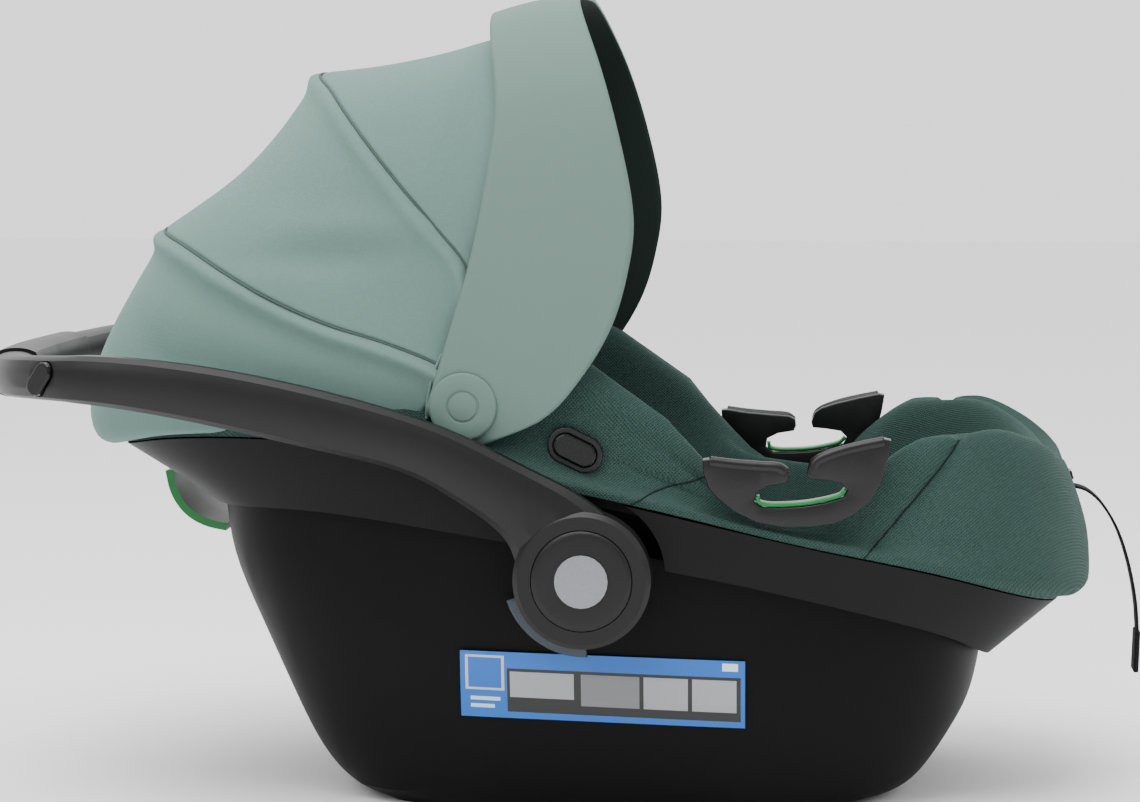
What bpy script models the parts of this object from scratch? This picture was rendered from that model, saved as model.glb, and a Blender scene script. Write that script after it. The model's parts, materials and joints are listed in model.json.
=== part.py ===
"""Infant car seat with a swinging carry handle and a folding canopy.

Frame: metres, +Z up, +X towards the foot end, Y across the seat. The origin lies on the floor, in the
middle plane, straight below the axis that the handle swings on.
"""

import math

import bmesh
import bpy
from mathutils import Matrix, Vector

# ---------------------------------------------------------------- driving dimensions
GAP = 0.0004  # kept between faces that rest on each other
RUNNING_GAP = 0.0008  # kept round pieces that turn or slide

RIM_BACK, RIM_FRONT = -0.310, 0.302  # ends of the rim band
RIM_HALF_WIDTH = 0.189
RIM_WALL = 0.003
SQUARENESS = 4.0  # 2 is an ellipse; more is squarer
HEAD_FLARE = 0.03  # how much wider the head end is than the middle

BASE_LENGTH_BACK, BASE_LENGTH_FRONT = 0.148, 0.184  # flat foot, from the handle axis
BASE_HALF_WIDTH = 0.148
BASE_WALL = 0.003

WING_HALF_WIDTH = 0.1675
WING_WALL = 0.004
WING_INSET = 0.014  # from the rim band's ends to the wing's
COVER_SKIRT = 0.0045  # cloth outside the wing
COVER_LINING = 0.008  # padded cloth inside it

HANDLE_AXIS_Z = 0.155
HUB_RADIUS = 0.043
HUB_OUTER_Y = 0.2170
HUB_INNER_Y = 0.1915
HUB_POCKET_RADIUS = 0.0318
HUB_FLOOR = 0.006
CAP_RADIUS = 0.0312
HUB_DISC_RADIUS = 0.0165
CAP_STANDS_OUT = 0.0022
BOSS_RADIUS = 0.025
BOSS_FOOT_Y = 0.1700
PIN_RADIUS = 0.0060
HANDLE_THICK_Y = 0.0245

LEVER_RADIUS = 0.0515
LEVER_Y = (0.1806, 0.1904)
LEVER_FROM_DEG, LEVER_TO_DEG = 198.0, 272.0

CANOPY_X, CANOPY_Z = -0.076, 0.260  # canopy pivot
CANOPY_HALF_WIDTH = 0.1806
CLOTH = 0.0014
VISOR_HALF_WIDTH = 0.1868
VISOR_WALL = 0.0034
BOW_WIDTH, BOW_THICK = 0.008, 0.0018
BOW_INNER_Y = {"rear": 0.1752, "mid": 0.1776}
EYELET_RADIUS = 0.011
STUD_RADIUS = 0.0050
STUD_CAP_RADIUS = 0.0215
PANEL_FOOT = 0.12  # the cloth starts at this share of the arch
SAG_MIDDLE, SAG_FRONT = 0.0095, 0.0035
REAR_BULGE = 0.019  # how far the cloth behind the rear hoop stands out, low down
SEAM_GAP = 0.0012
HOOP_REACH = 0.2335  # from the pivot to the top of a hoop

FRONT_BULGE = 0.014  # cover's padding beyond the rim band at the foot end
INSERT_THICK = 0.010
HOOK_THICK = 0.014
HOOK_X = 0.132
SIDE_BUTTON = (-0.0065, 0.2325)
SIDE_BUTTON_TILT_DEG = -26.0
LOCK_TEETH = 12
LOCK_Y = (0.2040, 0.2090)

WEBBING_WIDTH, WEBBING_THICK = 0.025, 0.0016
PULL_STRAP_WIDTH = 0.020

RING_POINTS = 52
ARCH_POINTS = 21

SIDES = (("left", -1), ("right", 1))  # left is the side nearer -Y


# ---------------------------------------------------------------- finishes
FINISHES = {
    "black_plastic": ((0.020, 0.020, 0.021), 0.55),
    "satin_plastic": ((0.030, 0.029, 0.031), 0.38),
    "canopy_cloth": ((0.38, 0.49, 0.45), 0.85),
    "canopy_laminate": ((0.30, 0.42, 0.38), 0.75),
    "cover_knit": ((0.075, 0.150, 0.135), 0.90),
    "insert_jersey": ((0.42, 0.50, 0.47), 0.90),
    "webbing": ((0.015, 0.015, 0.016), 0.80),
    "green_plastic": ((0.02, 0.24, 0.07), 0.35),
    "red_plastic": ((0.60, 0.03, 0.02), 0.35),
    "lever_plastic": ((0.11, 0.15, 0.19), 0.25),
    "label_film": ((0.01, 0.25, 0.60), 0.40),
    "steel": ((0.55, 0.55, 0.57), 0.30),
    "silver_trim": ((0.62, 0.63, 0.66), 0.35),
}
METALS = {"steel"}


def material(finish):
    """The named finish as a Principled material, made once."""
    found = bpy.data.materials.get(finish)
    if found:
        return found
    colour, roughness = FINISHES[finish]
    made = bpy.data.materials.new(finish)
    made.use_nodes = True
    shader = made.node_tree.nodes["Principled BSDF"]
    shader.inputs["Base Color"].default_value = (*colour, 1.0)
    shader.inputs["Roughness"].default_value = roughness
    shader.inputs["Metallic"].default_value = 1.0 if finish in METALS else 0.0
    return made


# ---------------------------------------------------------------- curves and rings
def through(points):
    """A smooth function y(x) through points given in rising x, level with its end points outside them."""

    def slope(i):
        low, high = max(i - 1, 0), min(i + 1, len(points) - 1)
        return (points[high][1] - points[low][1]) / (points[high][0] - points[low][0])

    def value(x):
        if x <= points[0][0]:
            return points[0][1]
        if x >= points[-1][0]:
            return points[-1][1]
        i = max(k for k in range(len(points) - 1) if points[k][0] <= x)
        (x0, y0), (x1, y1) = points[i], points[i + 1]
        span = x1 - x0
        t = (x - x0) / span
        rise, fall = slope(i) * span, slope(i + 1) * span
        return (
            y0 * (2 * t**3 - 3 * t**2 + 1)
            + rise * (t**3 - 2 * t**2 + t)
            + y1 * (3 * t**2 - 2 * t**3)
            + fall * (t**3 - t**2)
        )

    return value


def line(start, end):
    """Height along the straight line from start to end, both (x, z)."""
    (x0, z0), (x1, z1) = start, end
    return lambda x: z0 + (z1 - z0) * (x - x0) / (x1 - x0)


def power(value, exponent):
    return math.copysign(abs(value) ** exponent, value)


def ring(back, front, half_width, height, squareness=SQUARENESS, points=RING_POINTS):
    """A closed loop round the seat, seen from above a squared ellipse, at height(x)."""
    middle, reach = (front + back) / 2, (front - back) / 2
    loop = []
    for i in range(points):
        angle = 2 * math.pi * i / points
        x = middle + reach * power(math.cos(angle), 2 / squareness)
        flare = 1 + HEAD_FLARE * (middle - x) / reach
        y = half_width * flare * power(math.sin(angle), 2 / squareness)
        loop.append(Vector((x, y, height(x))))
    return loop


def spaced(points, count):
    """count points evenly spaced along a polyline."""
    lengths = [0.0]
    for a, b in zip(points, points[1:]):
        lengths.append(lengths[-1] + (b - a).length)
    result, k = [], 0
    for i in range(count):
        at = lengths[-1] * i / (count - 1)
        while k < len(points) - 2 and lengths[k + 1] < at:
            k += 1
        share = (at - lengths[k]) / (lengths[k + 1] - lengths[k])
        result.append(points[k].lerp(points[k + 1], share))
    return result


def arch(half_width, squareness, count=ARCH_POINTS):
    """Evenly spaced (y, share of the height) over an arch from the left foot to the right foot."""
    fine = []
    for i in range(721):
        angle = math.pi * i / 720
        y = -half_width * power(math.cos(angle), 2 / squareness)
        share = abs(math.sin(angle)) ** (2 / squareness)
        fine.append(Vector((0, y, share * half_width * 1.4)))
    return [(p.y, p.z / (half_width * 1.4)) for p in spaced(fine, count)]


# ---------------------------------------------------------------- solids
def node(name, bm, finish, smooth=True):
    """Turns a bmesh into a named object with its finish."""
    bmesh.ops.recalc_face_normals(bm, faces=bm.faces)
    mesh = bpy.data.meshes.new(name)
    bm.to_mesh(mesh)
    bm.free()
    mesh.materials.append(material(finish))
    made = bpy.data.objects.new(name, mesh)
    bpy.context.scene.collection.objects.link(made)
    if smooth:
        mesh.shade_smooth()
        mesh.set_sharp_from_angle(angle=math.radians(35))
    return made


def grown(bm, corners, edges, points):
    """Extrudes a chain of edges and moves each new corner to its own point; returns the new chain."""
    made = bmesh.ops.extrude_edge_only(bm, edges=edges)["geom"]
    fresh = [g for g in made if isinstance(g, bmesh.types.BMVert)]
    place = {corner: i for i, corner in enumerate(corners)}
    following = [None] * len(corners)
    for corner in fresh:
        parent = next(e.other_vert(corner) for e in corner.link_edges if e.other_vert(corner) in place)
        following[place[parent]] = corner
        corner.co = points[place[parent]]
    kept = set(fresh)
    return following, [g for g in made if isinstance(g, bmesh.types.BMEdge) and set(g.verts) <= kept]


def lofted(loops, closed=False):
    """A bmesh grown through closed loops of points, capped at both ends unless it closes on itself."""
    bm = bmesh.new()
    corners = [bm.verts.new(p) for p in loops[0]]
    edges = [bm.edges.new(pair) for pair in zip(corners, corners[1:] + corners[:1])]
    if not closed:
        bmesh.ops.contextual_create(bm, geom=edges)
    for loop in loops[1:] + (loops[:1] if closed else []):
        before = corners
        corners, edges = grown(bm, corners, edges, loop)
        for low, high in zip(before, corners[1:] + corners[:1]):  # the same diagonal on nested skins
            quad = next(face for face in low.link_faces if face in high.link_faces)
            bmesh.utils.face_split(quad, low, high)
    if closed:
        bmesh.ops.remove_doubles(bm, verts=bm.verts, dist=1e-6)
    else:
        bmesh.ops.contextual_create(bm, geom=edges)
    return bm


def loft(name, loops, finish, closed=False):
    return node(name, lofted(loops, closed), finish)


def sheet(name, rows, thickness, finish):
    """A sheet through a grid of points, thickened evenly to both sides."""
    bm = bmesh.new()
    corners = [bm.verts.new(p) for p in rows[0]]
    edges = [bm.edges.new(pair) for pair in zip(corners, corners[1:])]
    for row in rows[1:]:
        corners, edges = grown(bm, corners, edges, row)
    made = node(name, bm, finish)
    thick = made.modifiers.new("thickness", "SOLIDIFY")
    thick.thickness = thickness
    thick.offset = 0
    thick.use_even_offset = True
    return made


def prism(name, outline, y_low, y_high, finish, bevel=0.0):
    """An outline of (x, z) points, extruded from y_low to y_high."""
    bm = bmesh.new()
    face = bm.faces.new([bm.verts.new((x, y_low, z)) for x, z in outline])
    made = bmesh.ops.extrude_face_region(bm, geom=[face])
    moved = [g for g in made["geom"] if isinstance(g, bmesh.types.BMVert)]
    bmesh.ops.translate(bm, verts=moved, vec=(0, y_high - y_low, 0))
    if bevel:
        bmesh.ops.recalc_face_normals(bm, faces=bm.faces)
        rims = [e for e in bm.edges if abs(e.verts[0].co.y - e.verts[1].co.y) < 1e-7]
        bmesh.ops.bevel(bm, geom=rims, offset=bevel, segments=2, profile=0.5, affect="EDGES", material=-1)
    return node(name, bm, finish)


def turned(name, profile, centre, finish, segments=40):
    """A profile of (radius, y) points spun round the Y axis through centre, an (x, z) point."""
    bm = bmesh.new()
    corners = [bm.verts.new((r, y, 0)) for r, y in profile]
    pairs = zip(corners, corners[1:] + corners[:1])
    edges = [bm.edges.new((a, b)) for a, b in pairs if a.co.x > 0 or b.co.x > 0]
    bmesh.ops.spin(
        bm, geom=corners + edges, cent=(0, 0, 0), axis=(0, 1, 0),
        angle=2 * math.pi, steps=segments, use_merge=True, use_duplicate=False,
    )
    bmesh.ops.remove_doubles(bm, verts=bm.verts, dist=1e-6)
    bmesh.ops.translate(bm, verts=bm.verts, vec=(centre[0], 0, centre[1]))
    return node(name, bm, finish)


def ribbon(name, path, width, thickness, finish, across=Vector((0, 1, 0))):
    """A flat strap along a path, its width along across."""
    loops = []
    for i, point in enumerate(path):
        along = (path[min(i + 1, len(path) - 1)] - path[max(i - 1, 0)]).normalized()
        out = across.cross(along).normalized() * (thickness / 2)
        side = along.cross(out).normalized() * (width / 2)
        loops.append([point + side + out, point - side + out, point - side - out, point + side - out])
    return loft(name, loops, finish)


def smooth_path(points, count):
    """count evenly spaced points on a smooth curve through 3D points."""
    marks = [0.0]
    for a, b in zip(points, points[1:]):
        marks.append(marks[-1] + (b - a).length)
    axes = [through(list(zip(marks, [p[k] for p in points]))) for k in range(3)]
    fine = [Vector([axis(marks[-1] * i / 400) for axis in axes]) for i in range(401)]
    return spaced(fine, count)


def helper(made):
    made.hide_render = True
    made.display_type = "WIRE"
    return made


def boolean(target, other, operation="DIFFERENCE"):
    """Cuts target with other, or joins other to it, and keeps other as a hidden helper."""
    helper(other)
    modifier = target.modifiers.new(other.name, "BOOLEAN")
    modifier.operation = operation
    modifier.solver = "EXACT"
    modifier.object = other


def cylinder(name, radius, y_low, y_high, centre, finish="black_plastic", segments=40):
    return turned(
        name, [(0, y_low), (radius, y_low), (radius, y_high), (0, y_high)], centre, finish, segments,
    )


def tube(name, bore, radius, y_low, y_high, centre=(0, HANDLE_AXIS_Z), finish="black_plastic", segments=32):
    """A round ring about the Y axis through centre."""
    return turned(
        name, [(bore, y_low), (radius, y_low), (radius, y_high), (bore, y_high)], centre, finish, segments,
    )


def between(side, near, far):
    """The y range from near to far on one side, low end first."""
    return tuple(sorted((side * near, side * far)))


# ---------------------------------------------------------------- driving outlines, as heights along the seat
rim_top = through([
    (-0.310, 0.2265), (-0.270, 0.2355), (-0.215, 0.2385), (-0.150, 0.2355), (-0.060, 0.217),
    (0.041, 0.1955), (0.130, 0.174), (0.220, 0.154), (0.302, 0.128),
])
rim_bottom = through([
    (-0.250, 0.191), (-0.179, 0.193), (-0.116, 0.186), (-0.041, 0.173), (0.041, 0.160),
    (0.130, 0.141), (0.200, 0.122), (0.235, 0.108), (0.258, 0.091),
])
wing_top = through([
    (-0.300, 0.300), (-0.240, 0.309), (-0.150, 0.313), (-0.080, 0.310), (-0.040, 0.301), (-0.010, 0.288),
    (0.030, 0.262), (0.060, 0.239), (0.082, 0.217), (0.104, 0.199), (0.130, 0.194), (0.155, 0.198),
    (0.175, 0.216), (0.200, 0.234), (0.250, 0.240), (0.280, 0.227), (0.300, 0.210),
])
LOWER_BACK = [
    (-0.2456, 0.1965), (-0.242, 0.158), (-0.2240, 0.119), (-0.2015, 0.066), (-0.187, 0.034), (-0.170, 0.010),
]
LOWER_FRONT = [
    (0.2530, 0.0965), (0.247, 0.067), (0.237, 0.048), (0.223, 0.025), (0.213, 0.012), (0.203, 0.004),
]
LOWER_HALF_WIDTHS = [0.1765, 0.1765, 0.1755, 0.165, 0.158, 0.153]
DISH_BACK = [(-0.262, 0.245), (-0.212, 0.197), (-0.136, 0.147), (-0.060, 0.111), (-0.008, 0.097)]
DISH_FRONT = [(0.264, 0.175), (0.210, 0.135), (0.150, 0.108), (0.098, 0.095), (0.050, 0.091)]
DISH_HALF_WIDTHS = [0.1450, 0.1320, 0.1120, 0.0780, 0.0400]


def dish(outwards):
    """Loops of the bowl that the child lies in, from its brim down, moved outwards and down."""
    loops = []
    for back, front, half_width in zip(DISH_BACK, DISH_FRONT, DISH_HALF_WIDTHS):
        low, high = (back[0] - outwards, back[1] - outwards), (front[0] + outwards, front[1] - outwards)
        loops.append(ring(low[0], high[0], half_width + outwards, line(low, high)))
    return loops


def wing_ring(inset, drop):
    """A loop on the wing wall, inset from its outside and drop below its top."""
    back, front = RIM_BACK + WING_INSET + inset, RIM_FRONT - WING_INSET / 3 - inset
    return ring(back, front, WING_HALF_WIDTH - inset, lambda x: wing_top(x) - drop)


def foot_ring(inset, height):
    return ring(
        -BASE_LENGTH_BACK + inset, BASE_LENGTH_FRONT - inset, BASE_HALF_WIDTH - inset, lambda x: height,
    )


# ---------------------------------------------------------------- shells
def lower_shell():
    """The outer tub that the seat stands on: thin walls, a flat foot and a boss for each handle hub."""

    def tucked(x):
        return rim_bottom(x) + 0.0055

    outside, inside = [], []
    for back, front, half_width in zip(LOWER_BACK, LOWER_FRONT, LOWER_HALF_WIDTHS):
        outside.append(ring(back[0], front[0], half_width, line(back, front)))
        low, high = (back[0] + BASE_WALL, back[1] + BASE_WALL / 3), (
            front[0] - BASE_WALL, front[1] + BASE_WALL / 3,
        )
        inside.append(ring(low[0], high[0], half_width - BASE_WALL, line(low, high)))
    back, front, half_width = LOWER_BACK[0][0], LOWER_FRONT[0][0], LOWER_HALF_WIDTHS[0]
    outside[0] = ring(back, front, half_width, tucked)
    inside[0] = ring(back + BASE_WALL, front - BASE_WALL, half_width - BASE_WALL, tucked)
    floor = [foot_ring(BASE_WALL, BASE_WALL)]
    tub = loft("lower_shell", [foot_ring(0, 0)] + outside[::-1] + inside + floor, "black_plastic")
    for name, side in SIDES:
        through_wall = between(side, BOSS_FOOT_Y - 0.002, HUB_INNER_Y)
        boolean(tub, cylinder(f"wall_hole_{name}", PIN_RADIUS + 0.004, *through_wall, (0, HANDLE_AXIS_Z)))
        boss = tube(
            f"boss_{name}", PIN_RADIUS + GAP, BOSS_RADIUS,
            *between(side, BOSS_FOOT_Y, HUB_INNER_Y - RUNNING_GAP),
        )
        boolean(tub, boss, "UNION")
    return tub


def seat_bucket():
    """The bowl with its wing walls and the band that hangs outside the tub."""
    band_in = RIM_WALL
    back_low, front_low = -0.250, 0.2585

    def hung(x):
        return rim_bottom(x) + 0.0005

    loops = dish(COVER_LINING + WING_WALL)[::-1]
    loops.append(ring(-0.284, 0.284, 0.1650, lambda x: rim_top(x) - 0.010))
    loops.append(
        ring(
            RIM_BACK + band_in + 0.003, RIM_FRONT - band_in - 0.003, RIM_HALF_WIDTH - band_in,
            lambda x: rim_top(x) - RIM_WALL,
        ),
    )
    loops.append(ring(back_low + band_in, front_low - band_in, RIM_HALF_WIDTH - band_in - 0.001, hung))
    loops.append(ring(back_low, front_low, RIM_HALF_WIDTH - 0.001, hung))
    loops.append(ring(RIM_BACK, RIM_FRONT, RIM_HALF_WIDTH, rim_top))
    loops.append(
        ring(
            RIM_BACK + WING_INSET, RIM_FRONT - WING_INSET / 3, WING_HALF_WIDTH, lambda x: rim_top(x) + 0.002,
        ),
    )
    loops.append(wing_ring(0, COVER_LINING))
    loops.append(wing_ring(WING_WALL, COVER_LINING))
    loops += dish(COVER_LINING)
    bucket = loft("seat_bucket", loops, "black_plastic")
    for name, side in SIDES:
        recess = cylinder(
            f"hub_recess_{name}", HUB_RADIUS + 0.0075, *between(side, 0.1785, 0.25), (0, HANDLE_AXIS_Z),
        )
        boolean(bucket, recess)
    return bucket


def seat_cover():
    """The padded cover: a skirt outside the wings, over their top and down into the bowl."""
    lift = GAP
    under = dish(COVER_LINING - lift)
    loops = dish(0)[::-1]
    loops.append(wing_ring(COVER_LINING + WING_WALL, 0.004))
    loops.append(wing_ring(WING_WALL * 0.6, -0.002))
    loops.append(wing_ring(-COVER_SKIRT * 0.7, 0.005))
    loops.append(ring(
        RIM_BACK + WING_INSET - COVER_SKIRT, RIM_FRONT + FRONT_BULGE, WING_HALF_WIDTH + COVER_SKIRT,
        lambda x: (rim_top(x) + wing_top(x)) / 2,
    ))
    shelf = RIM_HALF_WIDTH - 0.007
    loops.append(
        ring(RIM_BACK + WING_INSET - COVER_SKIRT, RIM_FRONT, shelf - 0.008, lambda x: rim_top(x) + 0.0035),
    )
    loops.append(
        ring(
            RIM_BACK + WING_INSET - lift, RIM_FRONT - 0.003, WING_HALF_WIDTH + lift,
            lambda x: rim_top(x) + 0.0030,
        ),
    )
    loops.append(wing_ring(-lift, COVER_LINING - lift))
    loops.append(wing_ring(WING_WALL + lift, COVER_LINING - lift))
    loops += under
    return loft("seat_cover", loops, "cover_knit")


# ---------------------------------------------------------------- points on the shells
def ring_y(back, front, half_width, x):
    """Half width of a ring at x."""
    middle, reach = (front + back) / 2, (front - back) / 2
    share = min(abs((x - middle) / reach), 0.999)
    return half_width * (
        1 + HEAD_FLARE * (middle - x) / reach
    ) * (1 - share**SQUARENESS) ** (1 / SQUARENESS)


def lower_wall_y(x, z):
    """Half width of the lower shell's outside at x and z."""
    levels = [
        (line(back, front)(x), ring_y(back[0], front[0], half, x))
        for back, front, half in zip(LOWER_BACK, LOWER_FRONT, LOWER_HALF_WIDTHS)
    ]
    return through(levels[::-1])(z)


def skirt_y(x):
    """Half width of the cover's skirt at x, where it is widest."""
    return ring_y(
        RIM_BACK + WING_INSET - COVER_SKIRT, RIM_FRONT + FRONT_BULGE, WING_HALF_WIDTH + COVER_SKIRT, x,
    )


def bowl_height(x):
    """Height of the bowl's surface in the middle plane."""
    return through(DISH_BACK + DISH_FRONT[::-1])(x)


# ---------------------------------------------------------------- handle
# Stations from the hub to the grip: top (x, z), bottom (x, z), distance from the middle plane, width.
ARM_STATIONS = [
    ((0.030, 0.183), (-0.030, 0.127), 0.0, 1.0),
    ((0.012, 0.198), (-0.0415, 0.162), 0.0, 1.0),
    ((-0.008, 0.2115), (-0.046, 0.177), 0.0, 1.0),
    ((-0.030, 0.222), (-0.060, 0.191), 0.0, 1.0),
    ((-0.064, 0.239), (-0.085, 0.207), 0.0, 1.0),
    ((-0.1025, 0.255), (-0.113, 0.222), 0.0, 1.0),
    ((-0.1665, 0.2725), (-0.175, 0.236), 0.0, 1.0),
    ((-0.2315, 0.2855), (-0.237, 0.250), 0.0, 1.0),
    ((-0.2935, 0.292), (-0.295, 0.260), 0.0006, 1.0),
    ((-0.3274, 0.2915), (-0.3274, 0.262), 0.0104, 1.0),
    ((-0.3535, 0.290), (-0.3535, 0.262), 0.0327, 1.03),
    ((-0.3700, 0.288), (-0.3700, 0.260), 0.070, 1.08),
    ((-0.3815, 0.2865), (-0.3815, 0.2575), 0.128, 1.17),
    ((-0.3865, 0.286), (-0.3865, 0.256), 0.2043, 1.25),
]
ARM_START = 0.35  # the arm begins inside the hub
GRIP_HALF_LENGTH = 0.085
GRIP_SWELL = 0.0022
BUTTON_STATION = 9.20  # where the release buttons sit, counted along the stations
BUTTON_LONG, BUTTON_HIGH = 0.0240, 0.0130
BUTTON_TURN_DEG = 50


def handle_line(side, at):
    """Top, bottom and width of the handle at a station number, which may lie between two."""
    arm_y = (HUB_INNER_Y + HUB_OUTER_Y) / 2
    numbered = list(enumerate(ARM_STATIONS))
    top = Vector((
        through([(i, s[0][0]) for i, s in numbered])(at),
        side * (arm_y - through([(i, s[2]) for i, s in numbered])(at)),
        through([(i, s[0][1]) for i, s in numbered])(at),
    ))
    bottom = Vector((
        through([(i, s[1][0]) for i, s in numbered])(at),
        top.y,
        through([(i, s[1][1]) for i, s in numbered])(at),
    ))
    return top, bottom, HANDLE_THICK_Y * through([(i, s[3]) for i, s in numbered])(at)


def handle_middle(side, at):
    top, bottom, _ = handle_line(side, at)
    return (top + bottom) / 2


def handle_loop(side, at, swell=0.0, squareness=3.0, count=12):
    """A rounded section of the handle at a station number."""
    top, bottom, width = handle_line(side, at)
    middle = (top + bottom) / 2
    up = (top - bottom) / 2
    up = up * (1 + swell / up.length)
    along = handle_middle(side, at + 0.05) - handle_middle(side, at - 0.05)
    across = Vector((0, 1, 0)) if at < 7.5 else along.cross(Vector((0, 0, 1))).normalized()
    if across.y < 0:
        across = -across
    loop = []
    for k in range(count):
        angle = 2 * math.pi * (k + 0.5) / count
        high, wide = power(math.cos(angle), 2 / squareness), power(math.sin(angle), 2 / squareness)
        loop.append(middle + up * high + across * (wide * (width / 2 + swell)))
    return loop


def station_at_y(distance):
    """Station number where the handle's middle is this far from the middle plane."""
    low, high = 8.0, float(len(ARM_STATIONS) - 1)
    for _ in range(40):
        mid = (low + high) / 2
        low, high = (mid, high) if handle_middle(1, mid).y > distance else (low, mid)
    return low


def button_frame(side):
    """Matrix at the handle's outer face by the release button: X along the handle, Z outwards."""
    top, bottom, width = handle_line(side, BUTTON_STATION)
    middle = (top + bottom) / 2
    ahead = handle_middle(side, BUTTON_STATION + 0.05) - handle_middle(side, BUTTON_STATION - 0.05)
    along = ahead.normalized()
    up = Vector((0, 0, 1))
    out = along.cross(up).normalized()
    if out.y * side < 0:
        out = -out
    up = out.cross(along)
    turn = Matrix((along, up, out)).transposed().to_4x4()
    turn @= Matrix.Rotation(math.radians(-side * BUTTON_TURN_DEG), 4, "Z")
    return Matrix.Translation(middle + out * width / 2) @ turn


def oval(length, height, count=16):
    """Points of an oblong with round ends."""
    straight = (length - height) / 2
    points = []
    for k in range(count):
        angle = 2 * math.pi * (k + 0.5) / count
        shift = straight if math.cos(angle) > 0 else -straight
        points.append((shift + height / 2 * math.cos(angle), height / 2 * math.sin(angle)))
    return points


def plug(name, outline, z_low, z_high, finish, frame, bevel=0.0):
    """An outline of (x, y) points extruded from z_low to z_high in a frame's axes, its outer rim bevelled."""
    bm = bmesh.new()
    face = bm.faces.new([bm.verts.new((x, y, z_low)) for x, y in outline])
    made = bmesh.ops.extrude_face_region(bm, geom=[face])
    moved = [g for g in made["geom"] if isinstance(g, bmesh.types.BMVert)]
    bmesh.ops.translate(bm, verts=moved, vec=(0, 0, z_high - z_low))
    if bevel:
        bmesh.ops.recalc_face_normals(bm, faces=bm.faces)
        rim = [e for e in bm.edges if min(v.co.z for v in e.verts) > z_high - 1e-7]
        bmesh.ops.bevel(bm, geom=rim, offset=bevel, segments=2, profile=0.5, affect="EDGES", material=-1)
    bmesh.ops.transform(bm, matrix=frame, verts=bm.verts)
    return node(name, bm, finish)


def handle():
    """Two arms with their hubs, and the grip between them."""
    grip_end = station_at_y(GRIP_HALF_LENGTH)
    arm_end = station_at_y(GRIP_HALF_LENGTH + GAP)
    count = 20
    for name, side in SIDES:
        stations = [ARM_START + (arm_end - ARM_START) * (i / (count - 1)) for i in range(count)]
        arm = loft(f"handle_arm_{name}", [handle_loop(side, at) for at in stations], "satin_plastic")
        boolean(
            arm,
            cylinder(
                f"hub_room_{name}", HUB_RADIUS - 0.004, *between(side, 0.180, 0.230), (0, HANDLE_AXIS_Z),
            ),
        )
        inner, outer, floor = side * HUB_INNER_Y, side * HUB_OUTER_Y, side * (HUB_INNER_Y + HUB_FLOOR)
        edge = side * 0.003
        bore = PIN_RADIUS + RUNNING_GAP
        hub = turned(
            f"hub_{name}",
            [(bore, inner), (HUB_RADIUS - 0.002, inner), (HUB_RADIUS, inner + edge), (HUB_RADIUS, outer - edge),
             (HUB_RADIUS - 0.003, outer), (HUB_POCKET_RADIUS, outer), (HUB_POCKET_RADIUS, floor),
             (bore, floor)],
            (0, HANDLE_AXIS_Z), "satin_plastic", 36,
        )
        boolean(arm, hub, "UNION")
        frame = button_frame(side)
        room = 2 * RUNNING_GAP
        boolean(arm, plug(
            f"button_pocket_{name}", oval(BUTTON_LONG + room, BUTTON_HIGH + room), -0.0095, 0.006,
            "satin_plastic", frame,
        ))
        plug(
            f"handle_button_{name}", oval(BUTTON_LONG, BUTTON_HIGH), -0.0040, 0.0020, "black_plastic",
            frame, 0.0012,
        )
    middle = len(ARM_STATIONS) - 1
    half = [grip_end + (middle - grip_end) * i / 7 for i in range(8)]
    loops = [handle_loop(-1, at, GRIP_SWELL) for at in half]
    loops += [mirrored(loop) for loop in loops[-2::-1]]
    loft("handle_grip", loops, "black_plastic")


def mirrored(loop):
    """A loop's mirror image across the middle plane, its points still matching their neighbours'."""
    half = len(loop)
    image = [Vector((p.x, -p.y, p.z)) for p in loop]
    return [image[i] for i in range(half)]


def toothed(teeth, root, tip):
    """Outline of a gear with straight-sided teeth, round the handle's axis."""
    outline = []
    for k in range(teeth):
        for share, radius in ((0.00, root), (0.35, root), (0.50, tip), (0.85, tip)):
            angle = 2 * math.pi * (k + share) / teeth
            outline.append((radius * math.cos(angle), HANDLE_AXIS_Z + radius * math.sin(angle)))
    return outline


def hub_parts():
    """What sits in each hub: pivot bolt, lock gear, cap and silver disc, with the lever behind it."""
    centre = (0, HANDLE_AXIS_Z)
    floor = HUB_INNER_Y + HUB_FLOOR
    for name, side in SIDES:
        flange_low, flange_high = floor + GAP, floor + 0.0030
        turned(
            f"pivot_bolt_{name}",
            [(0, side * 0.1650), (PIN_RADIUS, side * 0.1650), (PIN_RADIUS, side * flange_low),
             (0.0110, side * flange_low), (0.0110, side * flange_high), (0, side * flange_high)],
            centre, "steel", 24,
        )
        gear = prism(
            f"lock_gear_{name}", toothed(LOCK_TEETH, 0.0250, 0.0285), *between(side, *LOCK_Y),
            "lever_plastic",
        )
        boolean(
            gear, cylinder(f"gear_hole_{name}", 0.0130, *between(side, 0.19, 0.22), centre, segments=24),
        )
        back, rim, face = side * 0.2135, side * (HUB_OUTER_Y + 0.0006), side * (HUB_OUTER_Y + CAP_STANDS_OUT)
        turned(
            f"hub_cap_{name}",
            [(0, back), (CAP_RADIUS, back), (CAP_RADIUS, rim), (CAP_RADIUS - 0.0012, rim + side * 0.0010),
             (CAP_RADIUS - 0.0040, face), (0, face)],
            centre, "black_plastic", 36,
        )
        turned(
            f"hub_disc_{name}",
            [
                (0, face + side * GAP), (HUB_DISC_RADIUS, face + side * GAP), (HUB_DISC_RADIUS, face + side * 0.0011),
                (0, face + side * 0.0013),
            ],
            centre, "silver_trim", 24,
        )
        lever(name, side)


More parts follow.
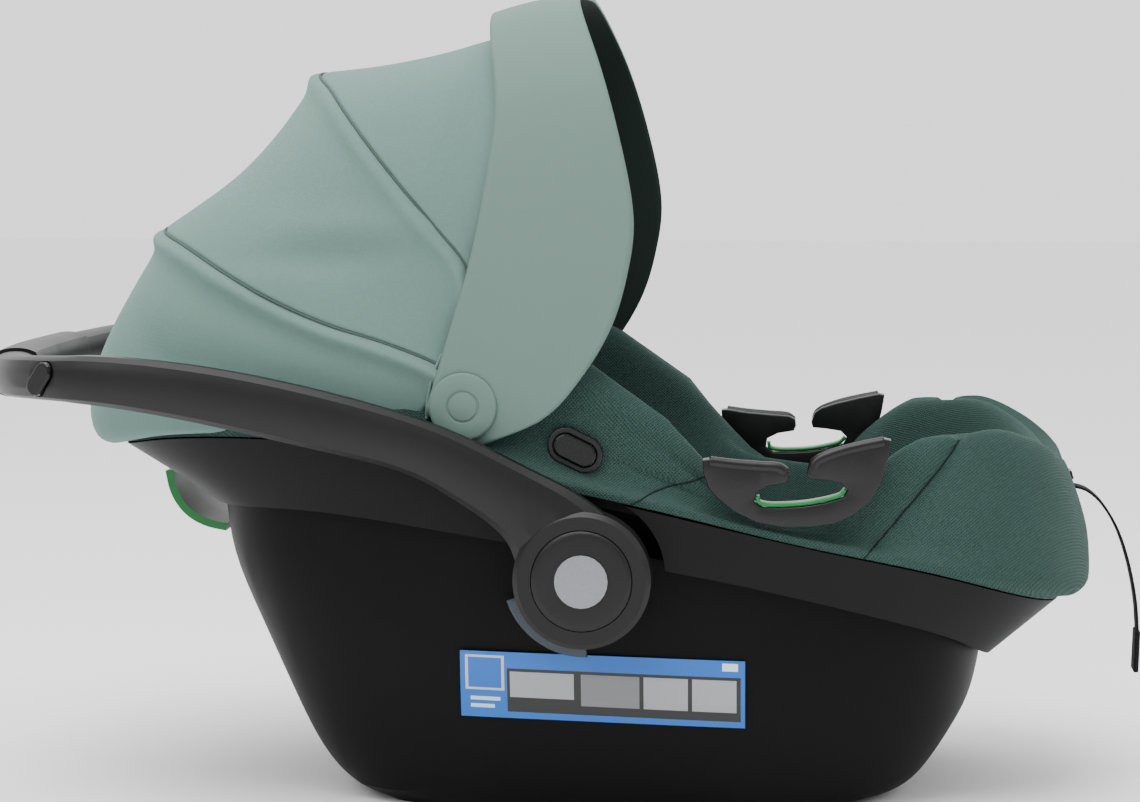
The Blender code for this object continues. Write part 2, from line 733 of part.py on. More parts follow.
def lever(name, side):
    """The arc lever under the hub: part of a ring round the handle's axis."""
    steps = 14
    outline = []
    for radius, order in ((LEVER_RADIUS, 1), (BOSS_RADIUS + RUNNING_GAP, -1)):
        arc = []
        for i in range(steps + 1):
            angle = math.radians(LEVER_FROM_DEG + (LEVER_TO_DEG - LEVER_FROM_DEG) * i / steps)
            arc.append((radius * math.cos(angle), HANDLE_AXIS_Z + radius * math.sin(angle)))
        outline += arc[::order]
    return prism(f"adapter_lever_{name}", outline, *between(side, *LEVER_Y), "lever_plastic", 0.0012)


# ---------------------------------------------------------------- canopy


def seam(which):
    """Side view of a hoop's seam: (x, z) from the pivot, by the share of its height in the arch."""
    points = HOOP_SEAMS[which]
    x, z = (through([(p[0], p[k]) for p in points]) for k in (1, 2))
    return lambda share: (CANOPY_X + x(share), CANOPY_Z + z(share))


HOOP_SEAMS = {
    "rear": [
        (0.00, 0.000, 0.006), (0.14, -0.012, 0.023), (0.28, -0.047, 0.038), (0.42, -0.085, 0.050),
        (0.60, -0.123, 0.066),
        (0.76, -0.155, 0.083), (0.90, -0.183, 0.098), (1.00, -0.2080, 0.1070),
    ],
    "mid": [
        (0.00, 0.000, 0.006), (0.16, 0.009, 0.040), (0.36, 0.002, 0.086), (0.50, -0.019, 0.112),
        (0.64, -0.043, 0.140),
        (0.78, -0.065, 0.1665), (0.90, -0.0835, 0.189), (0.95, -0.092, 0.198), (1.00, -0.106, 0.2080),
    ],
    "front": [(0.00, 0.004, 0.006), (0.50, 0.020, 0.115), (1.00, 0.026, 0.2360)],
}


def on_seam(which, share, y, inwards=0.0):
    """A point of a seam, moved towards the pivot by a distance that grows with its height in the arch."""
    x, z = seam(which)(share)
    pull = 1 - inwards * share / HOOP_REACH
    return Vector((CANOPY_X + (x - CANOPY_X) * pull, y, CANOPY_Z + (z - CANOPY_Z) * pull))


def bow(which):
    """A thin hoop with an eyelet at each end, turning on the canopy studs."""
    seat_y = BOW_INNER_Y[which]
    mid_y = seat_y + BOW_THICK / 2
    inwards = BOW_THICK / 2 + CLOTH + 0.0045
    foot = 0.018
    path = [
        on_seam(which, foot + (1 - foot) * share, y, inwards)
        for y, share in arch(mid_y, SQUARENESS, 35)
    ]
    hoop = strip(f"canopy_bow_{which}", path, BOW_WIDTH, BOW_THICK, "black_plastic")
    for name, side in SIDES:
        y_range = between(side, seat_y - 0.0002, seat_y + BOW_THICK + 0.0002)
        eyelet = tube(
            f"eyelet_{which}_{name}", STUD_RADIUS + RUNNING_GAP, EYELET_RADIUS, *y_range,
            (CANOPY_X, CANOPY_Z), segments=24,
        )
        boolean(hoop, eyelet, "UNION")
    return hoop


def strip(name, path, width, thickness, finish):
    """A flat strip along a hoop, its flat side facing away from the canopy's inside."""
    loops = []
    for i, point in enumerate(path):
        along = (path[min(i + 1, len(path) - 1)] - path[max(i - 1, 0)]).normalized()
        away = point - Vector((CANOPY_X, point.y * 0.35, CANOPY_Z))
        side = along.cross(away).normalized()
        out = side.cross(along).normalized()
        if abs(point.y) > 0.97 * abs(path[0].y):
            out = Vector((0, math.copysign(1, point.y), 0))
            side = along.cross(out).normalized()
        if side.dot(Vector((1, 0, 0))) < 0:
            side = -side
        if out.dot(away) < 0:
            out = -out
        loops.append(
            [
                point + side * width / 2 * a + out * thickness / 2 * b
                for a, b in ((1, 1), (-1, 1), (-1, -1), (1, -1))
            ],
        )
    return loft(name, loops, finish)




def panel(name, low, high, sag, lean=1.0, rows=4):
    """Cloth between two curves, each a function of (share, y), sagging towards the pivot between them."""
    grid = []
    for i in range(rows + 1):
        u = i / rows
        row = []
        for y, share in arch(CANOPY_HALF_WIDTH, SQUARENESS):
            share = PANEL_FOOT + (1 - PANEL_FOOT) * share
            first, last = low(share, y), high(share, y)
            point = first.lerp(
                last, (u * (first - last).length + SEAM_GAP * (0.5 - u)) / (first - last).length,
            )
            away = Vector((point.x - CANOPY_X, 0, point.z - CANOPY_Z))
            row.append(point - away.normalized() * sag * share * math.sin(math.pi * u**lean) ** 1.3)
        grid.append(row)
    return sheet(name, grid, CLOTH, "canopy_cloth")


def arc_panel(name, low, high, sag):
    """Cloth between two hoops."""
    return panel(name, lambda s, y: on_seam(low, s, y), lambda s, y: on_seam(high, s, y), sag)


def rear_panel():
    """Cloth from the rear hoop down to the rim at the head end."""
    hem_back, hem_z = -0.322, 0.2270

    def hem(share, y):
        x = CANOPY_X - 0.020 + share * (hem_back - CANOPY_X + 0.020)
        return Vector((x, y * 0.992, max(rim_top(x) + 0.006, hem_z)))

    return panel("canopy_panel_rear", lambda s, y: on_seam("rear", s, y), hem, -REAR_BULGE, 2.0)


visor_back = through(
    [(-0.004, -0.024), (0.032, -0.013), (0.090, 0.004), (0.147, 0.015), (0.190, 0.019), (0.246, 0.010)],
)
visor_front = through([
    (-0.025, 0.010), (-0.009, 0.048), (0.017, 0.073), (0.051, 0.093), (0.091, 0.104), (0.119, 0.106),
    (0.159, 0.099), (0.209, 0.085), (0.257, 0.066),
])


def visor(columns=5):
    """The stiff front of the canopy, with a round lobe over each pivot."""
    grid = []
    for i in range(columns + 1):
        u = i / columns
        row = []
        for y, share in arch(VISOR_HALF_WIDTH - VISOR_WALL / 2, 4.4, 25):
            back_h = -0.004 + share * 0.250
            front_h = -0.025 + share * 0.282
            x = visor_back(back_h) * (1 - u) + visor_front(front_h) * u
            row.append(Vector((CANOPY_X + x, y, CANOPY_Z + back_h * (1 - u) + front_h * u)))
        grid.append(row)
    made = sheet("canopy_visor", grid, VISOR_WALL, "canopy_laminate")
    for name, side in SIDES:
        hole = between(side, 0.175, 0.195)
        boolean(
            made,
            cylinder(
                f"visor_eye_{name}", STUD_RADIUS + RUNNING_GAP, *hole, (CANOPY_X, CANOPY_Z), segments=28,
            ),
        )
    return made


def canopy_studs():
    """Pins fixed in the wings that the hoops and the visor turn on, with a round cap outside."""
    for name, side in SIDES:
        seat_y = ring_y(RIM_BACK + WING_INSET, RIM_FRONT - WING_INSET / 3, WING_HALF_WIDTH, CANOPY_X) + GAP
        cap_low, cap_high = VISOR_HALF_WIDTH + 0.0006, 0.1905
        turned(
            f"canopy_stud_{name}",
            [(0, side * seat_y), (STUD_RADIUS, side * seat_y), (STUD_RADIUS, side * cap_low),
             (STUD_CAP_RADIUS, side * cap_low), (STUD_CAP_RADIUS, side * (cap_high - 0.0012)),
             (STUD_CAP_RADIUS - 0.0015, side * cap_high), (0, side * cap_high)],
            (CANOPY_X, CANOPY_Z), "canopy_laminate", 28,
        )


# ---------------------------------------------------------------- belt guides, buttons and labels


def rim_slope():
    """Angle in plan of the rim beside the belt hooks."""
    step = 0.03
    fall = ring_y(
        RIM_BACK, RIM_FRONT, RIM_HALF_WIDTH, HOOK_X + step,
    ) - ring_y(RIM_BACK, RIM_FRONT, RIM_HALF_WIDTH, HOOK_X - step)
    return math.atan2(fall, 2 * step)


HOOK_OUTLINE = [
    (0.073, 0.229), (0.075, 0.213), (0.082, 0.201), (0.093, 0.193), (0.108, 0.1875), (0.122, 0.186),
    (0.140, 0.187), (0.158, 0.191), (0.174, 0.199), (0.183, 0.214), (0.190, 0.239), (0.183, 0.2415),
    (0.164, 0.236), (0.146, 0.2305), (0.1385, 0.224), (0.138, 0.216), (0.158, 0.213), (0.1645, 0.207),
    (0.162, 0.200), (0.148, 0.196), (0.128, 0.194), (0.108, 0.197), (0.103, 0.204), (0.107, 0.211),
    (0.127, 0.2135), (0.1275, 0.2205), (0.112, 0.224), (0.094, 0.2265), (0.081, 0.2305),
]
HOOK_SLOT_FLOOR = [(0.1605, 0.201), (0.148, 0.1973), (0.128, 0.1955), (0.109, 0.1982), (0.105, 0.2035)]


def belt_hooks():
    """The lap belt hook on each side, with a green strip along the floor of its slot."""
    for name, side in SIDES:
        inner = side * (skirt_y(HOOK_X) + 0.0035)
        turn = Matrix.Rotation(side * rim_slope(), 4, "Z")
        place = Matrix.Translation((HOOK_X, inner, 0)) @ turn @ Matrix.Translation((-HOOK_X, 0, 0))
        hook = prism(
            f"belt_hook_{name}", HOOK_OUTLINE, *between(side, 0, HOOK_THICK), "black_plastic", 0.0010,
        )
        hook.data.transform(place)
        top = [(x, z + GAP * 3 + 0.0013) for x, z in HOOK_SLOT_FLOOR]
        bottom = [(x, z + GAP * 3) for x, z in reversed(HOOK_SLOT_FLOOR)]
        strip = prism(
            f"belt_strip_{name}", top + bottom, *between(side, 0.0010, HOOK_THICK - 0.0010), "green_plastic",
        )
        strip.data.transform(place)


def rear_belt_guide():
    """The curved green hook behind the head end that the shoulder belt runs through."""
    half_width, thick = 0.055, 0.0050
    route = [
        (-0.2850, 0.2055), (-0.2820, 0.192), (-0.2755, 0.181), (-0.2670, 0.1740), (-0.2575, 0.1700),
        (-0.2468, 0.168),
    ]
    path = smooth_path([Vector((x, 0, z)) for x, z in route], 12)
    return ribbon("rear_belt_guide", path, 2 * half_width, thick, "green_plastic")


def side_buttons():
    """An oblong push button in its bezel above each hub."""
    x, z = SIDE_BUTTON
    for name, side in SIDES:
        face_y = skirt_y(x) + 0.0022
        turn = Matrix(((1, 0, 0), (0, 0, side), (0, 1, 0))).to_4x4()
        tilt = Matrix.Rotation(math.radians(SIDE_BUTTON_TILT_DEG), 4, "Z")
        frame = Matrix.Translation((x, side * face_y, z)) @ turn @ tilt
        bezel = plug(f"side_bezel_{name}", oval(0.0365, 0.0235), 0, 0.0046, "black_plastic", frame, 0.0010)
        boolean(
            bezel, plug(f"side_hole_{name}", oval(0.0300, 0.0170), -0.002, 0.008, "black_plastic", frame),
        )
        plug(f"side_button_{name}", oval(0.0284, 0.0154), 0.0030, 0.0078, "satin_plastic", frame, 0.0012)


def labels():
    """A blank label plate on each side of the lower shell, following its curve."""
    for name, side in SIDES:
        grid = []
        for i in range(4):
            row = []
            for k in range(9):
                x = -0.079 + 0.179 * k / 8
                z = line((-0.080, 0.063), (0.099, 0.057))(x) + 0.043 * i / 3
                row.append(Vector((x, side * (lower_wall_y(x, z) + 0.0012), z)))
            grid.append(row)
        sheet(f"label_{name}", grid, 0.0005, "label_film")


# ---------------------------------------------------------------- inside the bowl
BACK_LEAN = math.atan2(DISH_BACK[0][1] - DISH_BACK[2][1], DISH_BACK[2][0] - DISH_BACK[0][0])


def insert():
    """A soft newborn liner lying in the lower part of the bowl."""
    outer, inner = [], []
    for inwards, loops in ((GAP * 3, outer), (GAP * 3 + INSERT_THICK, inner)):
        loops += dish(-inwards)[1:]
    return loft("newborn_insert", outer[::-1] + inner, "insert_jersey")


def back_frame(x, lift):
    """Matrix on the bowl's back in the middle plane: X up the back, Y across, Z out of it, raised by lift."""
    up = Vector((-math.cos(BACK_LEAN), 0, math.sin(BACK_LEAN)))
    out = Vector((math.sin(BACK_LEAN), 0, math.cos(BACK_LEAN)))
    across = out.cross(up)
    turn = Matrix((up, across, out)).transposed().to_4x4()
    return Matrix.Translation(Vector((x, 0, bowl_height(x))) + out * lift) @ turn


def headrest():
    """A U-shaped head support that slides up and down the back."""
    wide, inside, base, tall, length = 0.084, 0.064, 0.016, 0.050, 0.095
    bm = bmesh.new()
    outline = [
        (-wide, 0.006), (-wide + 0.010, 0), (wide - 0.010, 0), (wide, 0.006), (wide + 0.004, tall - 0.006),
        (wide - 0.004, tall), (inside + 0.004, tall - 0.004), (inside, base + 0.010),
        (inside - 0.014, base),
        (-inside + 0.014, base), (-inside, base + 0.010), (-inside - 0.004, tall - 0.004),
        (-wide + 0.004, tall),
        (-wide - 0.004, tall - 0.006),
    ]
    face = bm.faces.new([bm.verts.new((0, y, z)) for y, z in outline])
    made = bmesh.ops.extrude_face_region(bm, geom=[face])
    moved = [g for g in made["geom"] if isinstance(g, bmesh.types.BMVert)]
    bmesh.ops.translate(bm, verts=moved, vec=(length, 0, 0))
    bmesh.ops.transform(bm, matrix=back_frame(-0.140, INSERT_THICK + 0.016), verts=bm.verts)
    return node("headrest", bm, "insert_jersey")


def strap_height(x):
    """Height of the harness over the bowl: above the insert and under nothing."""
    return bowl_height(x) + 0.030


def harness():
    """Two shoulder straps with pads and tongues, the crotch strap and the buckle."""
    for name, side in SIDES:
        route = [
            (-0.118, 0.036), (-0.095, 0.037), (-0.070, 0.034), (-0.045, 0.028), (-0.022, 0.020),
            (-0.006, 0.0145),
        ]
        points = [Vector((x, side * y, strap_height(x))) for x, y in route]
        path = smooth_path(points, 14)
        ribbon(f"shoulder_strap_{name}", path, WEBBING_WIDTH * 0.8, WEBBING_THICK, "webbing")
        pad_path = [p + Vector((0.003, 0, 0.0052)) for p in smooth_path(points[:4], 9)]
        ribbon(f"shoulder_pad_{name}", pad_path, 0.034, 0.006, "cover_knit")
        slope = math.atan2(strap_height(0.012) - strap_height(-0.006), 0.018)
        place = Matrix.Translation(
            (-0.0030, side * 0.0140, strap_height(-0.004)),
        ) @ Matrix.Rotation(-slope, 4, "Y")
        plug(
            f"buckle_tongue_{name}", [
                (0, -0.0075), (0.0080, -0.0075), (0.0105, -0.0050), (0.0105, 0.0050), (0.0080, 0.0075),
                (0, 0.0075),
            ],
            -0.0012, 0.0012, "steel", place,
        )
    floor = bowl_height(0.03) + INSERT_THICK + 0.0110
    body = plug(
        "buckle_body", oval(0.056, 0.040, 20), 0, 0.019, "black_plastic",
        Matrix.Translation((0.0345, 0, floor)), 0.003,
    )
    well = plug(
        "buckle_well", oval(0.0220, 0.0180), 0.010, 0.030, "black_plastic",
        Matrix.Translation((0.0365, 0, floor)),
    )
    boolean(body, well)
    plug(
        "buckle_button", oval(0.0204, 0.0164), 0.0145, 0.0205, "red_plastic",
        Matrix.Translation((0.0365, 0, floor)), 0.001,
    )
    strap_points = [
        (0.0635, floor + 0.008), (0.078, floor + 0.006), (0.092, floor + 0.0035), (0.106, floor + 0.006),
    ]
    path = smooth_path([Vector((x, 0, z)) for x, z in strap_points], 8)
    ribbon("crotch_strap", path, WEBBING_WIDTH, WEBBING_THICK, "webbing")
    pad_z = floor - 0.0035
    plug(
        "crotch_pad", oval(0.060, 0.048, 20), 0, 0.0028, "cover_knit",
        Matrix.Translation((0.036, 0, pad_z)), 0.0008,
    )


# ---------------------------------------------------------------- harness adjuster at the foot end
STRAP_ROUTE = [
    (0.3060, 0.1942), (0.3140, 0.1942), (0.3230, 0.1912), (0.3325, 0.1825), (0.3425, 0.166),
    (0.3500, 0.144), (0.3550, 0.119), (0.3568, 0.0975),
]


def adjuster():
    """The slot and push button that the adjusting strap comes out of, and the strap itself."""
    x_back = RIM_FRONT - WING_INSET / 3 + 0.0006
    cheek, top, low, front = 0.0190, 0.2080, 0.1885, 0.3125
    outline = [(x_back, low), (front, low), (front, 0.1970), (front - 0.0040, top), (x_back, top)]
    housing = prism("adjuster_housing", outline, -cheek, cheek, "black_plastic", 0.0008)
    slot_high, slot_low = 0.1963, 0.1920
    slot_side = PULL_STRAP_WIDTH / 2 + RUNNING_GAP * 2
    mouth = [(0.3050, slot_low), (0.3300, slot_low), (0.3300, slot_high), (0.3050, slot_high)]
    boolean(housing, prism("strap_slot", mouth, -slot_side, slot_side, "black_plastic"))
    well = [(0.3040, 0.1985), (0.3300, 0.1985), (0.3300, 0.2055), (0.3040, 0.2055)]
    boolean(housing, prism("button_well", well, -0.0100, 0.0100, "black_plastic"))
    key = [(0.3080, 0.1993), (0.3135, 0.1993), (0.3120, 0.2047), (0.3080, 0.2047)]
    prism("adjuster_button", key, -0.0092, 0.0092, "satin_plastic", 0.0006)
    path = smooth_path([Vector((x, 0, z)) for x, z in STRAP_ROUTE], 26)
    ribbon("adjuster_strap", path, PULL_STRAP_WIDTH, WEBBING_THICK, "webbing")
    end = path[-1]
    tab = [
        (end.x - 0.0015, end.z - GAP), (end.x + 0.0015, end.z - GAP), (end.x + 0.0008, end.z - 0.027),
        (end.x - 0.0035, end.z - 0.027),
    ]
    prism("strap_end", tab, -0.0120, 0.0120, "webbing", 0.0004)


def cover_cuts(cover):
    """Openings in the cover for the canopy studs and the adjuster housing."""
    for name, side in SIDES:
        boolean(cover, cylinder(
            f"stud_opening_{name}", STUD_RADIUS + 0.0010, *between(side, WING_HALF_WIDTH - 0.0015, 0.1800),
            (CANOPY_X, CANOPY_Z), segments=24,
        ))
    x_back = RIM_FRONT - WING_INSET / 3 + 0.0003
    pocket = [(x_back, 0.1875), (0.34, 0.1875), (0.34, 0.2090), (x_back, 0.2090)]
    boolean(cover, prism("adjuster_opening", pocket, -0.0200, 0.0200, "cover_knit"))


def pivot_at(place, *names):
    """Moves the named nodes' origins to a place on their joint's axis; their shape stays where it is."""
    for name in names:
        moved = bpy.data.objects[name]
        moved.data.transform(Matrix.Translation(-Vector(place)))
        moved.location = place


def pivots():
    """Puts the origin of every moving node on the axis that it moves about or along."""
    hub, pin = (0, 0, HANDLE_AXIS_Z), (CANOPY_X, 0, CANOPY_Z)
    pivot_at(
        pin, "canopy_bow_rear", "canopy_bow_mid", "canopy_panel_middle", "canopy_panel_front",
        "canopy_visor",
    )
    pivot_at(hub, "handle_grip")
    for name, _ in SIDES:
        on_hub = ("handle_arm", "hub_cap", "hub_disc", "adapter_lever", "lock_gear")
        pivot_at(hub, *(f"{part}_{name}" for part in on_hub))
    sliding = ["headrest", "buckle_button", "adjuster_button"]
    sliding += [f"{part}_{name}" for part in ("handle_button", "side_button") for name, _ in SIDES]
    for name in sliding:
        spots = [vertex.co for vertex in bpy.data.objects[name].data.vertices]
        pivot_at(sum(spots, Vector()) / len(spots), name)


def main():
    for old in list(bpy.data.objects):
        bpy.data.objects.remove(old, do_unlink=True)
    lower_shell()
    seat_bucket()
    cover_cuts(seat_cover())
    insert()
    headrest()
    harness()
    adjuster()
    belt_hooks()
    rear_belt_guide()
    side_buttons()
    labels()
    handle()
    hub_parts()
    canopy_studs()
    bow("rear")
    bow("mid")
    rear_panel()
    arc_panel("canopy_panel_middle", "rear", "mid", SAG_MIDDLE)
    arc_panel("canopy_panel_front", "mid", "front", SAG_FRONT)
    visor()
    pivots()


main()
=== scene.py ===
# %% [markdown]
# An infant car seat, finished for a picture.
# The measured parts come in as a fixed frame: every hard part already has its right place and size.
# What is left to make here is everything soft, and the surface of everything hard.

# %% Load the measured parts
import json
import math

import bmesh
import bpy
from mathutils import Matrix, Vector, noise
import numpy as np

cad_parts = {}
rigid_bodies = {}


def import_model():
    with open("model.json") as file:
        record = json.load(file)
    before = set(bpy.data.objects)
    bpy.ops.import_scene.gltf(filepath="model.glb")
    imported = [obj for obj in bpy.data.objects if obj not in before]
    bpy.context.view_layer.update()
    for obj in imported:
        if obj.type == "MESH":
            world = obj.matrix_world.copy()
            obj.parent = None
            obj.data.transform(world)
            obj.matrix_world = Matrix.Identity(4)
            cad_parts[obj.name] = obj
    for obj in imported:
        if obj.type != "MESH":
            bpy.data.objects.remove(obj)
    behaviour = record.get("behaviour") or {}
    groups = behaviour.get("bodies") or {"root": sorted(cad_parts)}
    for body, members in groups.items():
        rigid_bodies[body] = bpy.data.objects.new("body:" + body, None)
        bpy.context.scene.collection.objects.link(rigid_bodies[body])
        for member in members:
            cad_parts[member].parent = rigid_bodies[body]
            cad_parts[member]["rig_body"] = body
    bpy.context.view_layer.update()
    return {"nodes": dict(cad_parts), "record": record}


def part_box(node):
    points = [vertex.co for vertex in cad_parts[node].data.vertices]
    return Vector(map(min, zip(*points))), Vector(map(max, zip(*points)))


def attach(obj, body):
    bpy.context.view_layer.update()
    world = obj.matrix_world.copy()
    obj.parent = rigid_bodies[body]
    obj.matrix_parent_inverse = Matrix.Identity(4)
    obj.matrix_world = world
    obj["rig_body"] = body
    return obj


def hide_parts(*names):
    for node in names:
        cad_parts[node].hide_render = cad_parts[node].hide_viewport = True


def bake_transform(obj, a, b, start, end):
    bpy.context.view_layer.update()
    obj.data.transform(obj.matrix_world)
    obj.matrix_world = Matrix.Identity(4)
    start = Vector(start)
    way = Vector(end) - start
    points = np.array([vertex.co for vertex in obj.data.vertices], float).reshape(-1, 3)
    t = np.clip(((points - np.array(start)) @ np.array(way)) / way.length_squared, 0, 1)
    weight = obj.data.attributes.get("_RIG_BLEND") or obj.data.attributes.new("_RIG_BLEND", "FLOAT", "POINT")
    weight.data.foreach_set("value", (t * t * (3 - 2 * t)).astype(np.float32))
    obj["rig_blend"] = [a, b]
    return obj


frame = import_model()
parts = frame["nodes"]
SIDES = (("left", -1), ("right", 1))

# %% [markdown]
# The whole canopy is drawn from the pin that it turns on. The record names that joint's place, so the pin
# is read from there.

# %% Where the canopy turns
axes = {joint["name"]: joint for joint in frame["record"]["behaviour"]["joints"]}
CANOPY_PIN = Vector(axes["canopy_fold"]["pos_m"])
print("canopy pin", tuple(CANOPY_PIN))

# %% [markdown]
# The camera comes early, because every later choice is judged through it. A long lens from two and a half
# metres away keeps the side of the seat nearly free of perspective.

# %% Camera
CAMERA_PLACE = Vector((0.15773, -2.49759, 0.45528))
AZIMUTH, ELEVATION = math.radians(4.1282), math.radians(4.7206)
FOCAL_LENGTH, SENSOR = 118.17, 36.0
lens = bpy.data.cameras.new("camera")
lens.lens, lens.sensor_width, lens.clip_end = FOCAL_LENGTH, SENSOR, 40
camera = bpy.data.objects.new("camera", lens)
along_floor = math.cos(ELEVATION)
forward = Vector((
    -math.sin(AZIMUTH) * along_floor, math.cos(AZIMUTH) * along_floor, -math.sin(ELEVATION)))
rightward = Vector((math.cos(AZIMUTH), math.sin(AZIMUTH), 0))
camera.matrix_world = (
    Matrix.Translation(CAMERA_PLACE)
    @ Matrix((rightward, rightward.cross(forward), -forward)).transposed().to_4x4())
bpy.context.scene.collection.objects.link(camera)
bpy.context.scene.camera = camera
print("camera at", tuple(round(c, 3) for c in camera.location))

# %% [markdown]
# A pale floor that runs far behind the seat gives the soft contact shadow and no horizon. Three big area
# lights stand in for the soft boxes: one above, a little to the head end, and two weak ones at the sides.

# %% Floor and light
FLOOR_SIZE = 9.0
floor_mesh = bmesh.new()
bmesh.ops.create_grid(floor_mesh, x_segments=1, y_segments=1, size=FLOOR_SIZE)
floor_data = bpy.data.meshes.new("studio_floor")
floor_mesh.to_mesh(floor_data)
floor_mesh.free()
studio_floor = bpy.data.objects.new("studio_floor", floor_data)
bpy.context.scene.collection.objects.link(studio_floor)


def area_light(name, place, target, size, power):
    """A square soft light at place, facing target."""
    data = bpy.data.lights.new(name, "AREA")
    data.energy, data.size = power, size
    light = bpy.data.objects.new(name, data)
    light.location = place
    light.rotation_euler = (Vector(target) - Vector(place)).to_track_quat("-Z", "Y").to_euler()
    bpy.context.scene.collection.objects.link(light)
    return light


area_light("overhead", (-0.3, -0.7, 2.4), (0, 0, 0.2), 1.8, 62)
area_light("near_side", (-1.4, -2.2, 1.9), (0, 0, 0.25), 1.4, 20)
area_light("foot_end", (2.2, -0.6, 1.2), (0, 0, 0.2), 1.0, 5)
print("studio ready")

# %% [markdown]
# Every finish below is a small tree of nodes. Three helpers keep the trees readable: one adds a node and
# fills its sockets, one adds a mathematical step, and one starts a material whose even values sit on the
# shader.

# %% Helpers for materials


def add(tree, kind, sockets=(), **settings):
    """A node of that kind, with settings as its properties and sockets as {input: value or output socket}."""
    made = tree.nodes.new(kind)
    for name, value in settings.items():
        setattr(made, name, value)
    for name, value in dict(sockets).items():
        if isinstance(value, bpy.types.NodeSocket):
            tree.links.new(value, made.inputs[name])
        else:
            made.inputs[name].default_value = value
    return made


def maths(tree, operation, *values):
    """The result of one mathematical step."""
    return add(tree, "ShaderNodeMath", dict(enumerate(values)), operation=operation).outputs[0]


def start(name, **even):
    """A new material, its tree and its shader, with values that are the same all over."""
    made = bpy.data.materials.new(name)
    made.use_nodes = True
    shader = made.node_tree.nodes["Principled BSDF"]
    for socket, value in even.items():
        shader.inputs[socket.replace("_", " ")].default_value = value
    return made, made.node_tree, shader


def mix(tree, share, low, high):
    """A colour between low and high by share."""
    node = add(tree, "ShaderNodeMix", {"Factor": share}, data_type="RGBA")
    for name, value in (("A", low), ("B", high)):
        socket = [s for s in node.inputs if s.name == name and s.type == "RGBA"][0]
        if isinstance(value, bpy.types.NodeSocket):
            tree.links.new(value, socket)
        else:
            socket.default_value = (*value, 1)
    return [s for s in node.outputs if s.type == "RGBA"][0]


print("material helpers ready")

# %% [markdown]
# Moulded plastic is never one colour. It has a fine spark-eroded grain that breaks up reflections, slow
# cloudy changes in gloss, and slow cloudy patches of a little dust and wear. Grain and clouds are two noise
# textures in object coordinates, so that they stay at the same scale on every part, big or small.

# %% Moulded plastic


CLOUDS = 0.06  # how far the gloss drifts either way
DUST, DUST_SHARE = 1.55, 0.55


def moulded_plastic(name, colour, roughness, grain=0.0007, relief=0.12, shine=0.2):
    """A moulded finish: grain is the size of its texture in metres, relief its depth, shine its gloss."""
    made, tree, shader = start(name, Specular_IOR_Level=shine)
    place = add(tree, "ShaderNodeTexCoord").outputs["Object"]
    fine = add(tree, "ShaderNodeTexNoise", {"Vector": place, "Scale": 1 / grain, "Detail": 2.0})
    slow = add(tree, "ShaderNodeTexNoise", {"Vector": place, "Scale": 14.0, "Detail": 4.0, "Roughness": 0.6})
    dusty = tuple(c * DUST + 0.004 for c in colour)
    tint = mix(tree, maths(tree, "MULTIPLY", slow.outputs[0], DUST_SHARE), colour, dusty)
    tree.links.new(tint, shader.inputs["Base Color"])
    shade = maths(tree, "MULTIPLY_ADD", slow.outputs[0], 2 * CLOUDS, roughness - CLOUDS)
    tree.links.new(maths(tree, "MULTIPLY_ADD", fine.outputs[0], 0.08, shade), shader.inputs["Roughness"])
    bump = add(tree, "ShaderNodeBump", {"Height": fine.outputs[0], "Strength": relief, "Distance": 0.0004})
    tree.links.new(bump.outputs[0], shader.inputs["Normal"])
    return made


# The lower shell is the same black plastic as the rim; its darker colour is painted shade of the low shell
# under the top light.
shell_plastic_painted_shade = moulded_plastic("shell_plastic_painted_shade", (0.0016, 0.0016, 0.0018), 0.50, shine=0.10)
rim_plastic = moulded_plastic("rim_plastic", (0.0045, 0.0045, 0.0048), 0.52, shine=0.14)
handle_plastic = moulded_plastic("handle_plastic", (0.0032, 0.0031, 0.0032), 0.38, grain=0.0009, shine=0.30)
hook_plastic = moulded_plastic(
    "hook_plastic", (0.0030, 0.0030, 0.0034), 0.34, grain=0.0016, relief=0.2, shine=0.35)
button_plastic = moulded_plastic("button_plastic", (0.002, 0.002, 0.0024), 0.22, relief=0.04, shine=0.3)
guide_green = moulded_plastic("guide_green", (0.004, 0.150, 0.030), 0.30, relief=0.05, shine=0.3)
lever_blue = moulded_plastic("lever_blue", (0.016, 0.026, 0.038), 0.20, relief=0.03, shine=0.4)
release_red = moulded_plastic("release_red", (0.32, 0.010, 0.008), 0.32, relief=0.05)
print("plastics ready")

# %% [markdown]
# The bright disc in the hub is silver paint over plastic, and the pins and tongues are plated steel. Paint
# is a metallic shader with a soft roughness; steel gets fine brushed lines by stretching its noise along
# one axis.

# %% Silver paint and steel


def brushed_metal(name, colour, roughness, stretch):
    """A metal whose fine lines are drawn out by stretch along each axis."""
    made, tree, shader = start(name, Metallic=1.0)
    place = add(tree, "ShaderNodeTexCoord").outputs["Object"]
    turned = add(tree, "ShaderNodeMapping", {"Vector": place, "Scale": stretch})
    lines = add(tree, "ShaderNodeTexNoise", {"Vector": turned.outputs[0], "Scale": 900.0, "Detail": 3.0})
    tint = mix(tree, lines.outputs[0], colour, tuple(c * 0.82 for c in colour))
    tree.links.new(tint, shader.inputs["Base Color"])
    tree.links.new(maths(tree, "MULTIPLY_ADD", lines.outputs[0], 0.14, roughness), shader.inputs["Roughness"])
    bump = add(tree, "ShaderNodeBump", {"Height": lines.outputs[0], "Strength": 0.05, "Distance": 0.0002})
    tree.links.new(bump.outputs[0], shader.inputs["Normal"])
    return made


silver_paint = brushed_metal("silver_paint", (0.30, 0.31, 0.33), 0.46, (1, 1, 1))
plated_steel = brushed_metal("plated_steel", (0.42, 0.42, 0.44), 0.24, (0.15, 1, 1))
print("metals ready")

